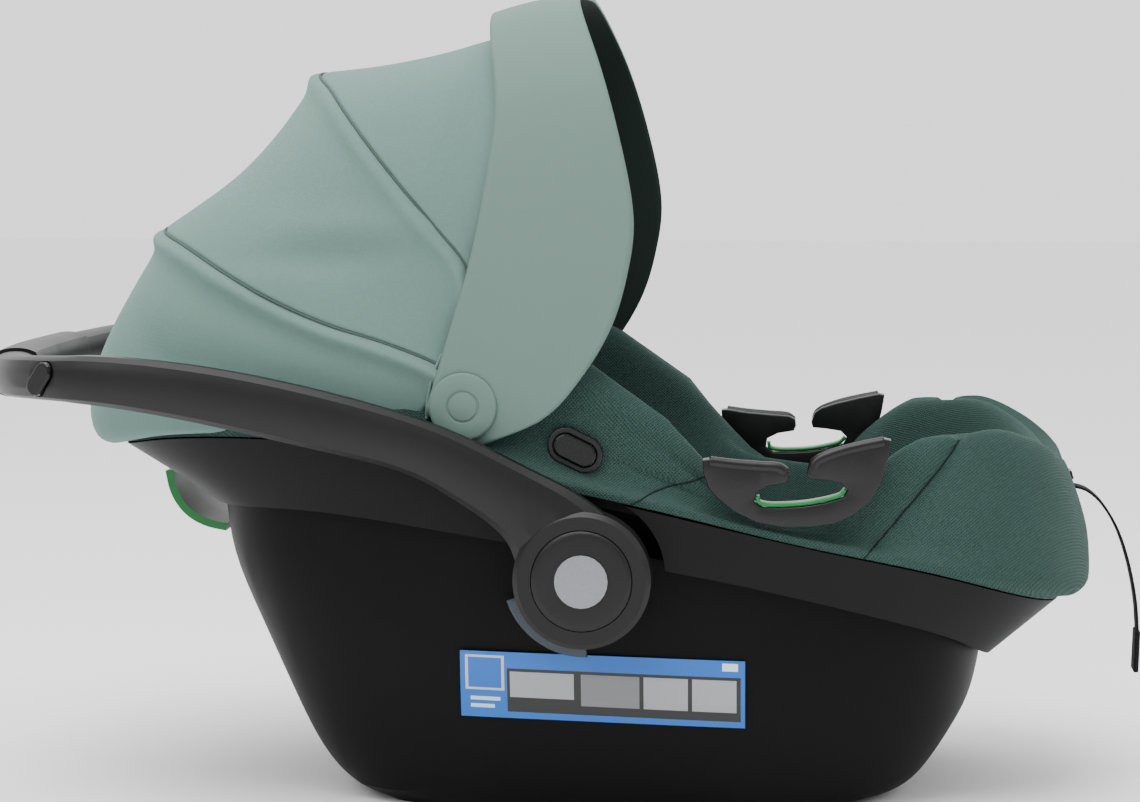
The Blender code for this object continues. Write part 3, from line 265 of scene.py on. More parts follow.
# %% [markdown]
# Woven cloth shows its threads only close up, but they soften every highlight. The weave is two sine waves
# at right angles. On a sheet they run along its own UV map, which here is in metres, so that the threads
# follow the cloth round the hoops. On a padded form, which has no map, they run on two slanted directions
# in space that give a clean weave on the sides and on the top alike.

# %% Woven and knitted cloth


def wave_along(tree, place, direction, pitch):
    """A sine wave from 0 to 1 along a direction, one turn to each pitch."""
    dot = add(tree, "ShaderNodeVectorMath", {0: place, 1: direction}, operation="DOT_PRODUCT")
    turn = maths(tree, "SINE", maths(tree, "MULTIPLY", dot.outputs["Value"], 2 * math.pi / pitch))
    return maths(tree, "MULTIPLY_ADD", turn, 0.5, 0.5)


THREAD_SHARE, DIMPLE_SHARE, SLUB_SHARE, DRIFT = 0.45, 0.55, 0.45, 0.5


def cloth(name, dark, light, pitch, relief, mapped=True, dimple=False, sheen=0.25, roughness=0.86):
    """A woven finish, or a knit one with dimple. mapped cloth follows its own UV map."""
    made, tree, shader = start(name, Sheen_Weight=sheen, Sheen_Roughness=0.45, Specular_IOR_Level=0.22)
    shader.inputs["Roughness"].default_value = roughness
    shader.inputs["Sheen Tint"].default_value = (*(min(1.0, c * 1.6 + 0.05) for c in light), 1)
    coordinates = add(tree, "ShaderNodeTexCoord")
    solid = coordinates.outputs["Object"]
    place = coordinates.outputs["UV"] if mapped else solid
    across = (1, 0, 0) if mapped else (1, 0.5, 0)
    along = (0, 1, 0) if mapped else (0, 1, 1)
    if dimple:
        across, along = (
            (across[0] + along[0], across[1] + along[1], across[2] + along[2]),
            (across[0] - along[0], across[1] - along[1], across[2] - along[2]))
    warp, weft = (wave_along(tree, place, way, pitch) for way in (across, along))
    threads = maths(tree, "MULTIPLY", warp, weft)
    slow = add(tree, "ShaderNodeTexNoise", {"Vector": solid, "Scale": 9.0, "Detail": 5.0}).outputs[0]
    slubs = add(tree, "ShaderNodeTexNoise", {"Vector": solid, "Scale": 420.0, "Detail": 2.0}).outputs[0]
    worn = maths(tree, "MULTIPLY_ADD", slow, DRIFT, maths(tree, "MULTIPLY", slubs, SLUB_SHARE))
    share = maths(tree, "MULTIPLY_ADD", threads, -DIMPLE_SHARE if dimple else THREAD_SHARE, worn)
    tree.links.new(mix(tree, share, dark, light), shader.inputs["Base Color"])
    raised = maths(tree, "SUBTRACT", 1, threads) if dimple else threads
    height = maths(tree, "MULTIPLY_ADD", slubs, 0.35, raised)
    bump = add(tree, "ShaderNodeBump", {"Height": height, "Strength": relief, "Distance": pitch * 0.3})
    tree.links.new(bump.outputs[0], shader.inputs["Normal"])
    return made


canopy_weave = cloth("canopy_weave", (0.100, 0.172, 0.148), (0.146, 0.236, 0.206), 0.0011, 0.30)
laminate = cloth(
    "visor_laminate", (0.110, 0.178, 0.150), (0.126, 0.198, 0.168), 0.0007, 0.06, sheen=0.08, roughness=0.62)
lining_dark = cloth("lining_dark", (0.010, 0.018, 0.015), (0.018, 0.030, 0.026), 0.0009, 0.20, sheen=0.1)
cover_knit = cloth(
    "cover_knit", (0.014, 0.036, 0.031), (0.046, 0.094, 0.080), 0.0023, 0.8, mapped=False, dimple=True)
plain_teal = cloth("plain_teal", (0.016, 0.038, 0.033), (0.032, 0.068, 0.058), 0.0012, 0.30, mapped=False)
jersey = cloth(
    "insert_jersey", (0.14, 0.19, 0.17), (0.20, 0.26, 0.235), 0.0014, 0.35, mapped=False, sheen=0.3)
webbing_black = cloth("webbing_black", (0.002, 0.002, 0.0024), (0.008, 0.008, 0.009), 0.0018, 0.8, sheen=0.05)
# A darker copy of the canopy cloth for the seam piping: painted shade of the seam groove.
piping_painted_shade = cloth("piping_painted_shade", (0.040, 0.062, 0.053), (0.075, 0.108, 0.094), 0.0008, 0.25, mapped=False)
thread_teal = cloth(
    "thread_teal", (0.003, 0.008, 0.007), (0.008, 0.018, 0.015), 0.0006, 0.4, mapped=False, sheen=0.0)
thread_sage = cloth("thread_sage", (0.10, 0.145, 0.13), (0.16, 0.22, 0.20), 0.0006, 0.4, mapped=False)
print("cloths ready")

# %% [markdown]
# The plate on the shell is printed film. The print here is made of plain blocks only: a blue field, one
# pale frame, a few short bars and a dark panel with four grey fields. Each block is a product of four
# comparisons.

# %% Printed film for the plates


def block(tree, across, up, left, right, low, high):
    """1 inside a rectangle of the plate, 0 outside."""
    inside = [
        maths(tree, "GREATER_THAN", across, left), maths(tree, "LESS_THAN", across, right),
        maths(tree, "GREATER_THAN", up, low), maths(tree, "LESS_THAN", up, high)]
    share = inside[0]
    for step in inside[1:]:
        share = maths(tree, "MULTIPLY", share, step)
    return share


PLATE_TILT = 0.13  # how far the plate's foot drops along it, as a share of its height
PANEL_INK, FIELD_BLUE, FRAME_GREY = (0.006, 0.006, 0.007), (0.0, 0.115, 0.48), (0.48, 0.51, 0.54)
PANEL_GREY, PANEL_DIM, BAR_PALE, TICKET_PALE = (
    (0.30, 0.31, 0.32), (0.17, 0.175, 0.18), (0.55, 0.72, 0.84), (0.70, 0.78, 0.84))
PLATE_BLOCKS = [  # left, right, foot and top as shares of the plate, and the tint
    (0.165, 0.985, 0.08, 0.66, PANEL_INK), (0.018, 0.155, 0.36, 0.82, FRAME_GREY),
    (0.028, 0.145, 0.39, 0.79, FIELD_BLUE), (0.175, 0.40, 0.28, 0.62, PANEL_GREY),
    (0.425, 0.630, 0.20, 0.62, PANEL_DIM), (0.645, 0.800, 0.20, 0.62, PANEL_GREY),
    (0.815, 0.970, 0.20, 0.62, PANEL_GREY), (0.035, 0.120, 0.12, 0.17, BAR_PALE),
    (0.035, 0.140, 0.22, 0.27, BAR_PALE), (0.92, 0.975, 0.74, 0.84, TICKET_PALE)]


def printed_film(name, low, high):
    """Blocks of colour between the corners low and high of a plate."""
    made, tree, shader = start(name, Roughness=0.34)
    place = add(tree, "ShaderNodeSeparateXYZ", {0: add(tree, "ShaderNodeTexCoord").outputs["Object"]}).outputs
    across = maths(tree, "DIVIDE", maths(tree, "SUBTRACT", place[0], low.x), high.x - low.x)
    bottom = maths(tree, "MULTIPLY_ADD", across, -PLATE_TILT, PLATE_TILT)
    height = maths(tree, "DIVIDE", maths(tree, "SUBTRACT", place[2], low.z), high.z - low.z)
    up = maths(tree, "SUBTRACT", height, bottom)
    dust = add(tree, "ShaderNodeTexNoise", {"Scale": 60.0}).outputs[0]
    colour = mix(tree, dust, (0.0, 0.110, 0.46), (0.0, 0.125, 0.50))
    for left, right, foot, top, tint in PLATE_BLOCKS:
        colour = mix(tree, block(tree, across, up, left, right, foot, top), colour, tint)
    tree.links.new(colour, shader.inputs["Base Color"])
    return made


plate_print = printed_film("plate_print", *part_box("label_left"))
print("plate print ready")

# %% [markdown]
# The world is a light tent: bright above and behind the seat, dim on the camera's side. Dark plastic
# mirrors that dim side, so it stays dark, while cloth is lit from above. The direction of the sky sets the
# strength.

# %% Light tent
TENT_DIM, TENT_BEHIND, TENT_ABOVE = 0.42, 1.15, 0.85
world = bpy.data.worlds.new("light_tent")
world.use_nodes = True
tent = world.node_tree
sky = add(tent, "ShaderNodeSeparateXYZ", {0: add(tent, "ShaderNodeTexCoord").outputs["Generated"]}).outputs
behind = add(tent, "ShaderNodeMapRange", {
    "Value": sky[1], "From Min": -0.35, "From Max": 0.55,
    "To Min": TENT_DIM, "To Max": TENT_DIM + TENT_BEHIND,
}, interpolation_type="SMOOTHSTEP").outputs[0]
above = maths(tent, "MAXIMUM", sky[2], 0.0)
strength = maths(tent, "MULTIPLY_ADD", above, TENT_ABOVE, behind)
tent.links.new(strength, tent.nodes["Background"].inputs["Strength"])
tent.nodes["Background"].inputs["Color"].default_value = (1.0, 1.0, 1.0, 1)
bpy.context.scene.world = world
print("tent", TENT_DIM, "to", TENT_DIM + TENT_BEHIND + TENT_ABOVE)

# %% [markdown]
# The floor is part of the studio, so it only needs to be pale and quiet.

# %% Floor finish
floor_paint, tree, shader = start("floor_paint", Roughness=0.9)
speck = add(tree, "ShaderNodeTexNoise", {"Scale": 3.0}).outputs[0]
tree.links.new(mix(tree, speck, (0.95, 0.95, 0.95), (0.98, 0.98, 0.98)), shader.inputs["Base Color"])
studio_floor.data.materials.append(floor_paint)
print("floor painted")

# %% [markdown]
# The hard parts keep their measured shape and only trade their flat colour for one of these finishes.

# %% Finish the hard parts
finishes = {
    hook_plastic: ("buckle_body", "adjuster_housing", "side_bezel_left", "side_bezel_right"),
    button_plastic: ("side_button_left", "side_button_right", "handle_button_left", "handle_button_right",
                     "adjuster_button", "canopy_bow_rear", "canopy_bow_mid"),
    lever_blue: ("lock_gear_left", "lock_gear_right"),
    release_red: ("buckle_button",),
    silver_paint: ("hub_disc_left", "hub_disc_right"),
    plated_steel: ("pivot_bolt_left", "pivot_bolt_right", "buckle_tongue_left", "buckle_tongue_right"),
    plate_print: ("label_left", "label_right"),
}
for finish, names in finishes.items():
    for name in names:
        parts[name].data.materials.clear()
        parts[name].data.materials.append(finish)
print(sum(len(names) for names in finishes.values()), "hard parts finished")

# %% [markdown]
# Two curve helpers place everything soft. The first is a smooth line through a few stations, as a tailor
# lays a French curve through chalk marks. The second spaces points evenly along a line, which keeps the
# mesh even.

# %% Smooth lines


def through(stations):
    """A smooth function through (x, value) stations, level beyond its ends."""

    def slope(i):
        low, high = max(i - 1, 0), min(i + 1, len(stations) - 1)
        return (stations[high][1] - stations[low][1]) / (stations[high][0] - stations[low][0])

    def value(x):
        if x <= stations[0][0]:
            return stations[0][1]
        if x >= stations[-1][0]:
            return stations[-1][1]
        i = max(k for k in range(len(stations) - 1) if stations[k][0] <= x)
        (x0, y0), (x1, y1) = stations[i], stations[i + 1]
        t, span = (x - x0) / (x1 - x0), x1 - x0
        return (y0 * (2 * t**3 - 3 * t**2 + 1) + slope(i) * span * (t**3 - 2 * t**2 + t)
                + y1 * (3 * t**2 - 2 * t**3) + slope(i + 1) * span * (t**3 - t**2))

    return value


def evenly(line, count):
    """count points at even distances along a line of points."""
    marks = [0.0]
    for a, b in zip(line, line[1:]):
        marks.append(marks[-1] + (b - a).length)
    result, k = [], 0
    for i in range(count):
        at = marks[-1] * i / (count - 1)
        while k < len(line) - 2 and marks[k + 1] < at:
            k += 1
        result.append(line[k].lerp(line[k + 1], (at - marks[k]) / max(marks[k + 1] - marks[k], 1e-9)))
    return result


def curve_through(points, count):
    """count even points on a smooth curve through 3D points."""
    marks = [0.0]
    for a, b in zip(points, points[1:]):
        marks.append(marks[-1] + (b - a).length)
    axis = [through(list(zip(marks, [p[k] for p in points]))) for k in range(3)]
    return evenly([Vector([f(marks[-1] * i / 500) for f in axis]) for i in range(501)], count)


def power(value, exponent):
    return math.copysign(abs(value) ** exponent, value)


print("curve helpers ready")

# %% [markdown]
# The rim and the top of the wings are two such lines, drawn along the seat. The cover follows both.

# %% The rim and the wings, as heights along the seat
rim_top = through([
    (-0.310, 0.2265), (-0.270, 0.2355), (-0.215, 0.2385), (-0.150, 0.2355), (-0.060, 0.217),
    (0.041, 0.1955), (0.130, 0.174), (0.220, 0.154), (0.302, 0.128)])
wing_top = through([
    (-0.300, 0.300), (-0.240, 0.309), (-0.150, 0.313), (-0.080, 0.310), (-0.040, 0.301), (-0.010, 0.286),
    (0.030, 0.260), (0.060, 0.237), (0.082, 0.214), (0.104, 0.194), (0.130, 0.188), (0.155, 0.192),
    (0.175, 0.213), (0.200, 0.231), (0.250, 0.236), (0.280, 0.223), (0.300, 0.206)])
print("rim", round(rim_top(0), 3), "wing", round(wing_top(0), 3), "at the handle axis")

# %% [markdown]
# Finished pieces all go through one door: a helper that turns a bmesh into an object with its cloth, and
# one that bakes the modifiers in, so that the mesh that moves with the joints is the mesh that shows.

# %% Helpers for pieces


def piece(name, bm, *finish):
    """A smooth-shaded object from a bmesh."""
    data = bpy.data.meshes.new(name)
    bm.to_mesh(data)
    bm.free()
    for one in finish:
        data.materials.append(one)
    data.shade_smooth()
    made = bpy.data.objects.new(name, data)
    bpy.context.scene.collection.objects.link(made)
    return made


def settle(made):
    """Bakes the modifiers of a piece into its mesh."""
    graph = bpy.context.evaluated_depsgraph_get()
    baked = bpy.data.meshes.new_from_object(
        made.evaluated_get(graph), preserve_all_data_layers=True, depsgraph=graph)
    old, made.data = made.data, baked
    made.modifiers.clear()
    bpy.data.meshes.remove(old)
    baked.name = made.name
    return made


def thicken(made, thickness, offset=-1.0, inner=0):
    """Gives a sheet its thickness, with another finish inside where inner is 1."""
    wall = made.modifiers.new("thickness", "SOLIDIFY")
    wall.thickness, wall.offset = thickness, offset
    wall.material_offset = inner
    return settle(made)


print("piece helpers ready")

# %% [markdown]
# A measured part is made of flat facets. Where it is moulded round, it gets a smooth twin: its triangles
# are joined back into quads, its true edges are creased, and two subdivisions round off the rest. The twin
# keeps the size of the measured part, because the creases hold every edge that is sharp.

# %% Smooth twins of the moulded parts


def merged(node):
    """A measured part as one connected bmesh."""
    bm = bmesh.new()
    bm.from_mesh(parts[node].data)
    bmesh.ops.remove_doubles(bm, verts=bm.verts, dist=1e-5)
    bmesh.ops.recalc_face_normals(bm, faces=bm.faces)
    return bm


def smooth_twin(node, finish, slot, sharp=30.0, levels=2):
    """A rounded copy of a measured part that takes its place; edges keener than sharp degrees stay sharp."""
    bm = merged(node)
    bmesh.ops.join_triangles(bm, faces=bm.faces, angle_face_threshold=math.radians(25),
                             angle_shape_threshold=math.radians(50))
    crease = bm.edges.layers.float.new("crease_edge")
    keen = 0
    for edge in bm.edges:
        if edge.is_manifold and edge.calc_face_angle(0) > math.radians(sharp):
            edge[crease], edge.smooth, keen = 1.0, False, keen + 1
    twin = piece(f"{node}_moulded", bm, finish)
    rounder = twin.modifiers.new("rounder", "SUBSURF")
    rounder.levels = rounder.render_levels = levels
    settle(twin)
    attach(twin, parts[node]["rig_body"])
    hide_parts(node)
    return len(twin.data.polygons), keen


twins = [("lower_shell", shell_plastic_painted_shade, "black_plastic"), ("seat_bucket", rim_plastic, "black_plastic"),
         ("handle_grip", handle_plastic, "black_plastic"), ("rear_belt_guide", guide_green, "green_plastic")]
for name, _ in SIDES:
    twins += [
        (f"handle_arm_{name}", handle_plastic, "satin_plastic"),
        (f"hub_cap_{name}", handle_plastic, "black_plastic"),
        (f"adapter_lever_{name}", lever_blue, "lever_plastic")]
for node, finish, slot in twins:
    print(node, *smooth_twin(node, finish, slot), "faces and sharp edges")

# %% [markdown]
# ## The canopy
# The canopy is three panels of cloth between hoops. Seen from the side a hoop's seam isn't a straight line:
# it leaves the pin, leans back and then rises. Each seam is drawn as its place from the pin against its
# height in the arch, and across the seat the hoop is a squared arch.

# %% Hoop seams
SQUARENESS = 4.0
ARCH_HALF_WIDTH = 0.1806
CLOTH_FOOT = 0.10  # the cloth starts at this share of the arch
ARCH_RISE, FINE_STEPS = 1.4, 1440  # an arch's height in half widths, and its steps before it is spaced evenly
SEAMS = {
    "rear": [
        (0.00, 0.000, 0.006), (0.14, -0.012, 0.023), (0.28, -0.047, 0.038), (0.42, -0.085, 0.050),
        (0.60, -0.123, 0.066), (0.76, -0.155, 0.083), (0.90, -0.183, 0.098), (1.00, -0.2080, 0.1070)],
    "mid": [
        (0.00, 0.000, 0.006), (0.16, 0.009, 0.040), (0.36, 0.002, 0.086), (0.50, -0.019, 0.112),
        (0.64, -0.043, 0.140), (0.78, -0.065, 0.1665), (0.90, -0.0835, 0.189), (0.95, -0.092, 0.198),
        (1.00, -0.106, 0.2080)],
    "front": [(0.00, 0.004, 0.006), (0.50, 0.020, 0.115), (1.00, 0.026, 0.2360)],
}
seam_lines = {
    name: tuple(through([(row[0], row[k]) for row in rows]) for k in (1, 2)) for name, rows in SEAMS.items()}


def on_seam(name, share, y):
    """A point of a seam at its share of the arch's height."""
    back, up = (line(share) for line in seam_lines[name])
    return CANOPY_PIN + Vector((back, y, up))


def arch(half_width, squareness, count):
    """Even (y, share of the height) steps over an arch, from the near foot to the far one."""
    fine, rise = [], half_width * ARCH_RISE
    for i in range(FINE_STEPS + 1):
        angle = math.pi * i / FINE_STEPS
        share = abs(math.sin(angle)) ** (2 / squareness)
        fine.append(Vector((0, -half_width * power(math.cos(angle), 2 / squareness), share * rise)))
    return [(p.y, p.z / rise) for p in evenly(fine, count)]


print("top of the seams", [tuple(round(c, 3) for c in on_seam(name, 1, 0)) for name in SEAMS])

# %% [markdown]
# Every sheet starts as one flat grid, and its vertices are then carried to their place, as cloth is laid
# over a form. The UV map is laid out in metres along the two directions, so that the weave is the same
# everywhere.

# %% A sheet from a grid


def laid_sheet(name, rows, columns, place, *finish):
    """A grid of rows by columns whose vertex (i, j) goes to place(i / rows, j / columns)."""
    bm = bmesh.new()
    bmesh.ops.create_grid(bm, x_segments=columns, y_segments=rows, size=1, calc_uvs=True)
    layer = bm.loops.layers.uv.verify()
    spots = {vertex: ((vertex.co.y + 1) / 2, (vertex.co.x + 1) / 2) for vertex in bm.verts}
    for vertex, (u, v) in spots.items():
        vertex.co = place(u, v)
    wide = sum((place(0.5, (k + 1) / 20) - place(0.5, k / 20)).length for k in range(20))
    deep = sum((place((k + 1) / 20, 0.5) - place(k / 20, 0.5)).length for k in range(20))
    for face in bm.faces:
        for loop in face.loops:
            u, v = spots[loop.vert]
            loop[layer].uv = (v * wide, u * deep)
    return piece(name, bm, *finish), wide, deep


def face_out(made, outwards):
    """Turns the faces of a sheet so that they look the way outwards(point) says."""
    polygon = max(made.data.polygons, key=lambda p: p.area)
    if polygon.normal.dot(outwards(polygon.center)) < 0:
        bm = bmesh.new()
        bm.from_mesh(made.data)
        bmesh.ops.reverse_faces(bm, faces=bm.faces)
        bm.to_mesh(made.data)
        bm.free()
    return made


print("sheet helper ready")

# %% [markdown]
# Between two hoops the cloth sags a little towards the pin, and just behind each seam it rolls over the hoop
# in a rounded ridge. The sag is a half sine across the panel. The ridge is a bell curve a few millimetres
# from the seam, and it fades towards the pin, where the hoops lie too close for it. A few soft folds are
# pressed in, because an even sag looks like sheet metal.

# %% The three canopy panels
CLOTH_THICK = 0.0014
RIDGE_HEIGHT, RIDGE_FROM_SEAM, RIDGE_WIDTH = 0.0046, 0.0070, 0.0052
GROOVE, GROOVE_WIDTH = 0.0016, 0.0016
ROOM_WANTED = 0.045  # a panel narrower than this has smaller ridges and grooves
BELLY_SHAPE, WAIST, WAIST_AT_SAG = 1.15, 0.014, 0.012
RIPPLES = ((16, Vector((3.1, 0, 0)), 0.0011), (45, Vector(), 0.0003))
PANEL_ROWS, PANEL_COLUMNS = 44, 150
arch_line = arch(ARCH_HALF_WIDTH, SQUARENESS, 241)


def arch_at(v):
    """(y, share) at v along the arch, between the stored steps."""
    at = v * (len(arch_line) - 1)
    k = min(int(at), len(arch_line) - 2)
    (y0, s0), (y1, s1) = arch_line[k], arch_line[k + 1]
    return y0 + (y1 - y0) * (at - k), s0 + (s1 - s0) * (at - k)


def outwards_at(point, y, share):
    """The way out of the canopy at a point: up and away on top, sideways at the sides."""
    away = Vector((point.x - CANOPY_PIN.x, 0, point.z - CANOPY_PIN.z)).normalized()
    side = Vector((0, math.copysign(abs(y / ARCH_HALF_WIDTH) ** 3, y), 0))
    return (away * share**3 + side).normalized()


def canopy_panel(name, low, high, sag, lean, ridges, folds=()):
    """Cloth between lines low(share, y) and high(share, y). ridges are the sides, 0 or 1, with a hoop."""

    def place(u, v):
        u = 0.5 - 0.5 * math.cos(math.pi * u)
        y, share = arch_at(v)
        lift = CLOTH_FOOT + (1 - CLOTH_FOOT) * share
        first, last = low(lift, y), high(lift, y)
        width = (last - first).length
        point = first.lerp(last, u)
        away = Vector((point.x - CANOPY_PIN.x, 0, point.z - CANOPY_PIN.z)).normalized()
        belly = math.sin(math.pi * u**lean) ** BELLY_SHAPE
        point -= away * sag * lift * belly
        point.y *= 1 - WAIST * belly * max(sag, 0) / WAIST_AT_SAG
        out = outwards_at(point, y, lift)
        room = min(1.0, width / ROOM_WANTED)
        for side in (0, 1):
            from_seam = (u if side == 0 else 1 - u) * width
            if side in ridges:
                crest = (from_seam - RIDGE_FROM_SEAM) / RIDGE_WIDTH
                point += out * RIDGE_HEIGHT * room * math.exp(-crest**2)
            point -= out * GROOVE * room * math.exp(-(from_seam / GROOVE_WIDTH) ** 2)
        for centre, axis, length, across, depth in folds:
            offset = Vector((point.x - centre[0], 0, point.z - centre[1]))
            axis_way = Vector((math.cos(axis), 0, math.sin(axis)))
            run = offset.dot(axis_way)
            drop = (offset - axis_way * run).dot(Vector((-axis_way.z, 0, axis_way.x)))
            point -= out * depth * math.exp(-(run / length) ** 2 - (drop / across) ** 2)
        ripple = sum(noise.noise(point * scale + shift) * height for scale, shift, height in RIPPLES)
        return point + out * ripple * belly

    made, wide, deep = laid_sheet(name, PANEL_ROWS, PANEL_COLUMNS, place, canopy_weave, lining_dark)
    face_out(made, lambda p: Vector((p.x - CANOPY_PIN.x, p.y * 0.6, p.z - CANOPY_PIN.z)))
    return thicken(made, CLOTH_THICK, inner=1), wide, deep


HEM_FRONT, HEM_BACK, HEM_LOW = CANOPY_PIN.x - 0.020, -0.322, 0.2290


def hem(share, y):
    """The rear panel's lower edge, tucked over the rim."""
    x = HEM_FRONT + share * (HEM_BACK - HEM_FRONT)
    return Vector((x, y * 0.996, max(rim_top(x) + 0.003, HEM_LOW)))


panel_plan = {
    "canopy_rear_cloth": (
        hem, lambda s, y: on_seam("rear", s, y), -0.020, 0.55, (1,),
        ("seat", "canopy_rear_hoop"), "canopy_panel_rear",
        [((-0.215, 0.318), -0.35, 0.060, 0.012, 0.0030), ((-0.270, 0.285), -0.9, 0.035, 0.012, 0.0022)]),
    "canopy_middle_cloth": (
        lambda s, y: on_seam("rear", s, y), lambda s, y: on_seam("mid", s, y), 0.0100, 1.0, (1,),
        ("canopy_rear_hoop", "canopy_mid_hoop"), "canopy_panel_middle",
        [((-0.165, 0.352), 0.03, 0.050, 0.009, 0.0040), ((-0.150, 0.372), 0.0, 0.060, 0.010, -0.0026)]),
    "canopy_front_cloth": (
        lambda s, y: on_seam("mid", s, y), lambda s, y: on_seam("front", s, y), 0.0045, 1.0, (),
        ("canopy_mid_hoop", "canopy_front"), "canopy_panel_front",
        [((-0.075, 0.430), 1.3, 0.050, 0.014, 0.0016)]),
}
canopy_cloths = {}
for name, (low, high, sag, lean, ridges, _, _, folds) in panel_plan.items():
    made, wide, deep = canopy_panel(name, low, high, sag, lean, ridges, folds)
    canopy_cloths[name] = made
    print(name, "wide", round(wide, 3), "deep", round(deep, 3), len(made.data.polygons), "faces")

# %% [markdown]
# Each panel crosses one joint, so it is blended between its two hoops. A canopy opens like a fan, so the
# weights are then set from the angle about the pin, and the cloth stays on both hoops all the way down.

# %% Let the panels fan open and shut


def fan_blend(made, bodies, low, high):
    """Blends a panel between two bodies by where each point lies between the two seams."""
    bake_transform(made, *bodies, start=low(1.0, 0.0), end=high(1.0, 0.0))
    lines = []
    for k in range(41):
        share = CLOTH_FOOT + (1 - CLOTH_FOOT) * k / 40
        pair = [line(share, 0.0) for line in (low, high)]
        lines.append([((p.x - CANOPY_PIN.x) ** 2 + (p.z - CANOPY_PIN.z) ** 2, p) for p in pair])

    def angle(p):
        return math.atan2(p.z - CANOPY_PIN.z, CANOPY_PIN.x - p.x)

    def edge_angle(side, reach):
        near = min(lines, key=lambda pair: abs(pair[side][0] - reach))
        return angle(near[side][1])

    weights = made.data.attributes["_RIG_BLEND"].data
    for vertex in made.data.vertices:
        reach = (vertex.co.x - CANOPY_PIN.x) ** 2 + (vertex.co.z - CANOPY_PIN.z) ** 2
        first, last = edge_angle(0, reach), edge_angle(1, reach)
        share = (angle(vertex.co) - first) / (last - first) if abs(last - first) > 1e-4 else 0.5
        weights[vertex.index].value = min(1.0, max(0.0, share))
    return made


for name, (low, high, _, _, _, bodies, node, _) in panel_plan.items():
    made = fan_blend(canopy_cloths[name], bodies, low, high)
    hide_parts(node)
print("canopy panels blended")

# %% [markdown]
# A thin piping is sewn into each hoop seam. It is a small tube that follows the seam, sunk by half into the
# groove. Its colour is a darker copy of the canopy cloth: painted shade for the dark line in the seam's
# groove. A tube is an open line with a round bevel: a curve object makes it in one step, and it is then
# turned into a mesh so that its weave sits still in every picture.

# %% Tubes along a line


def tube_along(name, points, radius, finish, sides=3):
    """A round tube along points, as a mesh."""
    data = bpy.data.curves.new(name, "CURVE")
    data.dimensions = "3D"
    data.bevel_depth, data.bevel_resolution, data.use_fill_caps = radius, sides, True
    spline = data.splines.new("POLY")
    spline.points.add(len(points) - 1)
    for spot, point in zip(spline.points, points):
        spot.co = (*point, 1)
    line = bpy.data.objects.new(name + "_line", data)
    bpy.context.scene.collection.objects.link(line)
    graph = bpy.context.evaluated_depsgraph_get()
    mesh = bpy.data.meshes.new_from_object(line.evaluated_get(graph))
    bpy.data.objects.remove(line)
    bm = bmesh.new()
    bm.from_mesh(mesh)
    bpy.data.meshes.remove(mesh)
    bmesh.ops.remove_doubles(bm, verts=bm.verts, dist=1e-6)
    bmesh.ops.recalc_face_normals(bm, faces=bm.faces)
    return piece(name, bm, finish)


PIPING_RADIUS, PIPING_SUNK = 0.0007, 0.0004
for which, body in (("rear", "canopy_rear_hoop"), ("mid", "canopy_mid_hoop")):
    seam = []
    for k in range(161):
        y, share = arch_at(k / 160)
        share = CLOTH_FOOT + (1 - CLOTH_FOOT) * share
        spot = on_seam(which, share, y)
        seam.append(spot - outwards_at(spot, y, share) * PIPING_SUNK)
    piping = tube_along(f"canopy_piping_{which}", seam, PIPING_RADIUS, piping_painted_shade)
    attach(piping, body)
    print(piping.name, len(piping.data.polygons), "faces")

# %% [markdown]
# ## The visor
# The front of the canopy is a stiff laminate, cut as a crescent that narrows to a round lobe at each pin.
# Its two edges are drawn as distances from the pin, and the sheet is laid between them. The outside is
# smooth sage, the inside a dark lining. A bound edge would show a seam; the real one is cut clean, so the
# wall's own rim is left plain.

# %% Visor
visor_back = through([
    (-0.004, -0.024), (0.032, -0.013), (0.090, 0.004), (0.147, 0.015), (0.190, 0.019), (0.246, 0.010)])
visor_front = through([
    (-0.025, 0.010), (-0.009, 0.048), (0.017, 0.073), (0.051, 0.093), (0.091, 0.104), (0.119, 0.106),
    (0.159, 0.099), (0.209, 0.085), (0.257, 0.066)])
VISOR_SQUARENESS, VISOR_THICK = 4.4, 0.0026
VISOR_BACK_FOOT, VISOR_BACK_RISE = -0.004, 0.2517
VISOR_FRONT_FOOT, VISOR_FRONT_RISE = -0.025, 0.2837
VISOR_CROWN = 0.0022  # the middle of the visor stands this much above its edges
visor_low, visor_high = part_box("canopy_visor")
VISOR_OUTSIDE = visor_high.y - 0.0004
visor_line = arch(VISOR_OUTSIDE, VISOR_SQUARENESS, 241)


def visor_place(u, v):
    """A point of the visor: u from its back edge to its front one, v over the arch."""
    at = v * (len(visor_line) - 1)
    k = min(int(at), len(visor_line) - 2)
    (y0, s0), (y1, s1) = visor_line[k], visor_line[k + 1]
    y, share = y0 + (y1 - y0) * (at - k), s0 + (s1 - s0) * (at - k)
    back_up, front_up = VISOR_BACK_FOOT + share * VISOR_BACK_RISE, VISOR_FRONT_FOOT + share * VISOR_FRONT_RISE
    along = visor_back(back_up) * (1 - u) + visor_front(front_up) * u
    crown = VISOR_CROWN * math.sin(math.pi * u) * share
    return CANOPY_PIN + Vector((along, y, back_up * (1 - u) + front_up * u + crown))


visor, visor_wide, visor_deep = laid_sheet("visor_shell", 26, 170, visor_place, laminate, lining_dark)
face_out(visor, lambda p: Vector((0, p.y * 0.6, p.z - CANOPY_PIN.z)))
thicken(visor, VISOR_THICK, inner=1)
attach(visor, "canopy_front")
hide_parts("canopy_visor")
print("visor wide", round(visor_wide, 3), "deep", round(visor_deep, 3))

# %% [markdown]
# Over each pin sits a flat round cover with two pressed circles. It is a lathe job: one profile, spun once
# round the pin. The circles are real grooves, so that they also show in the mesh.

# %% Pin covers
COVER_PROFILE = [
    (0.0, 0.0024), (0.0086, 0.0024), (0.0091, 0.0016), (0.0099, 0.0016), (0.0104, 0.0024), (0.0192, 0.0024),
    (0.0204, 0.0021), (0.0211, 0.0013), (0.0213, 0.0), (0.0, 0.0)]


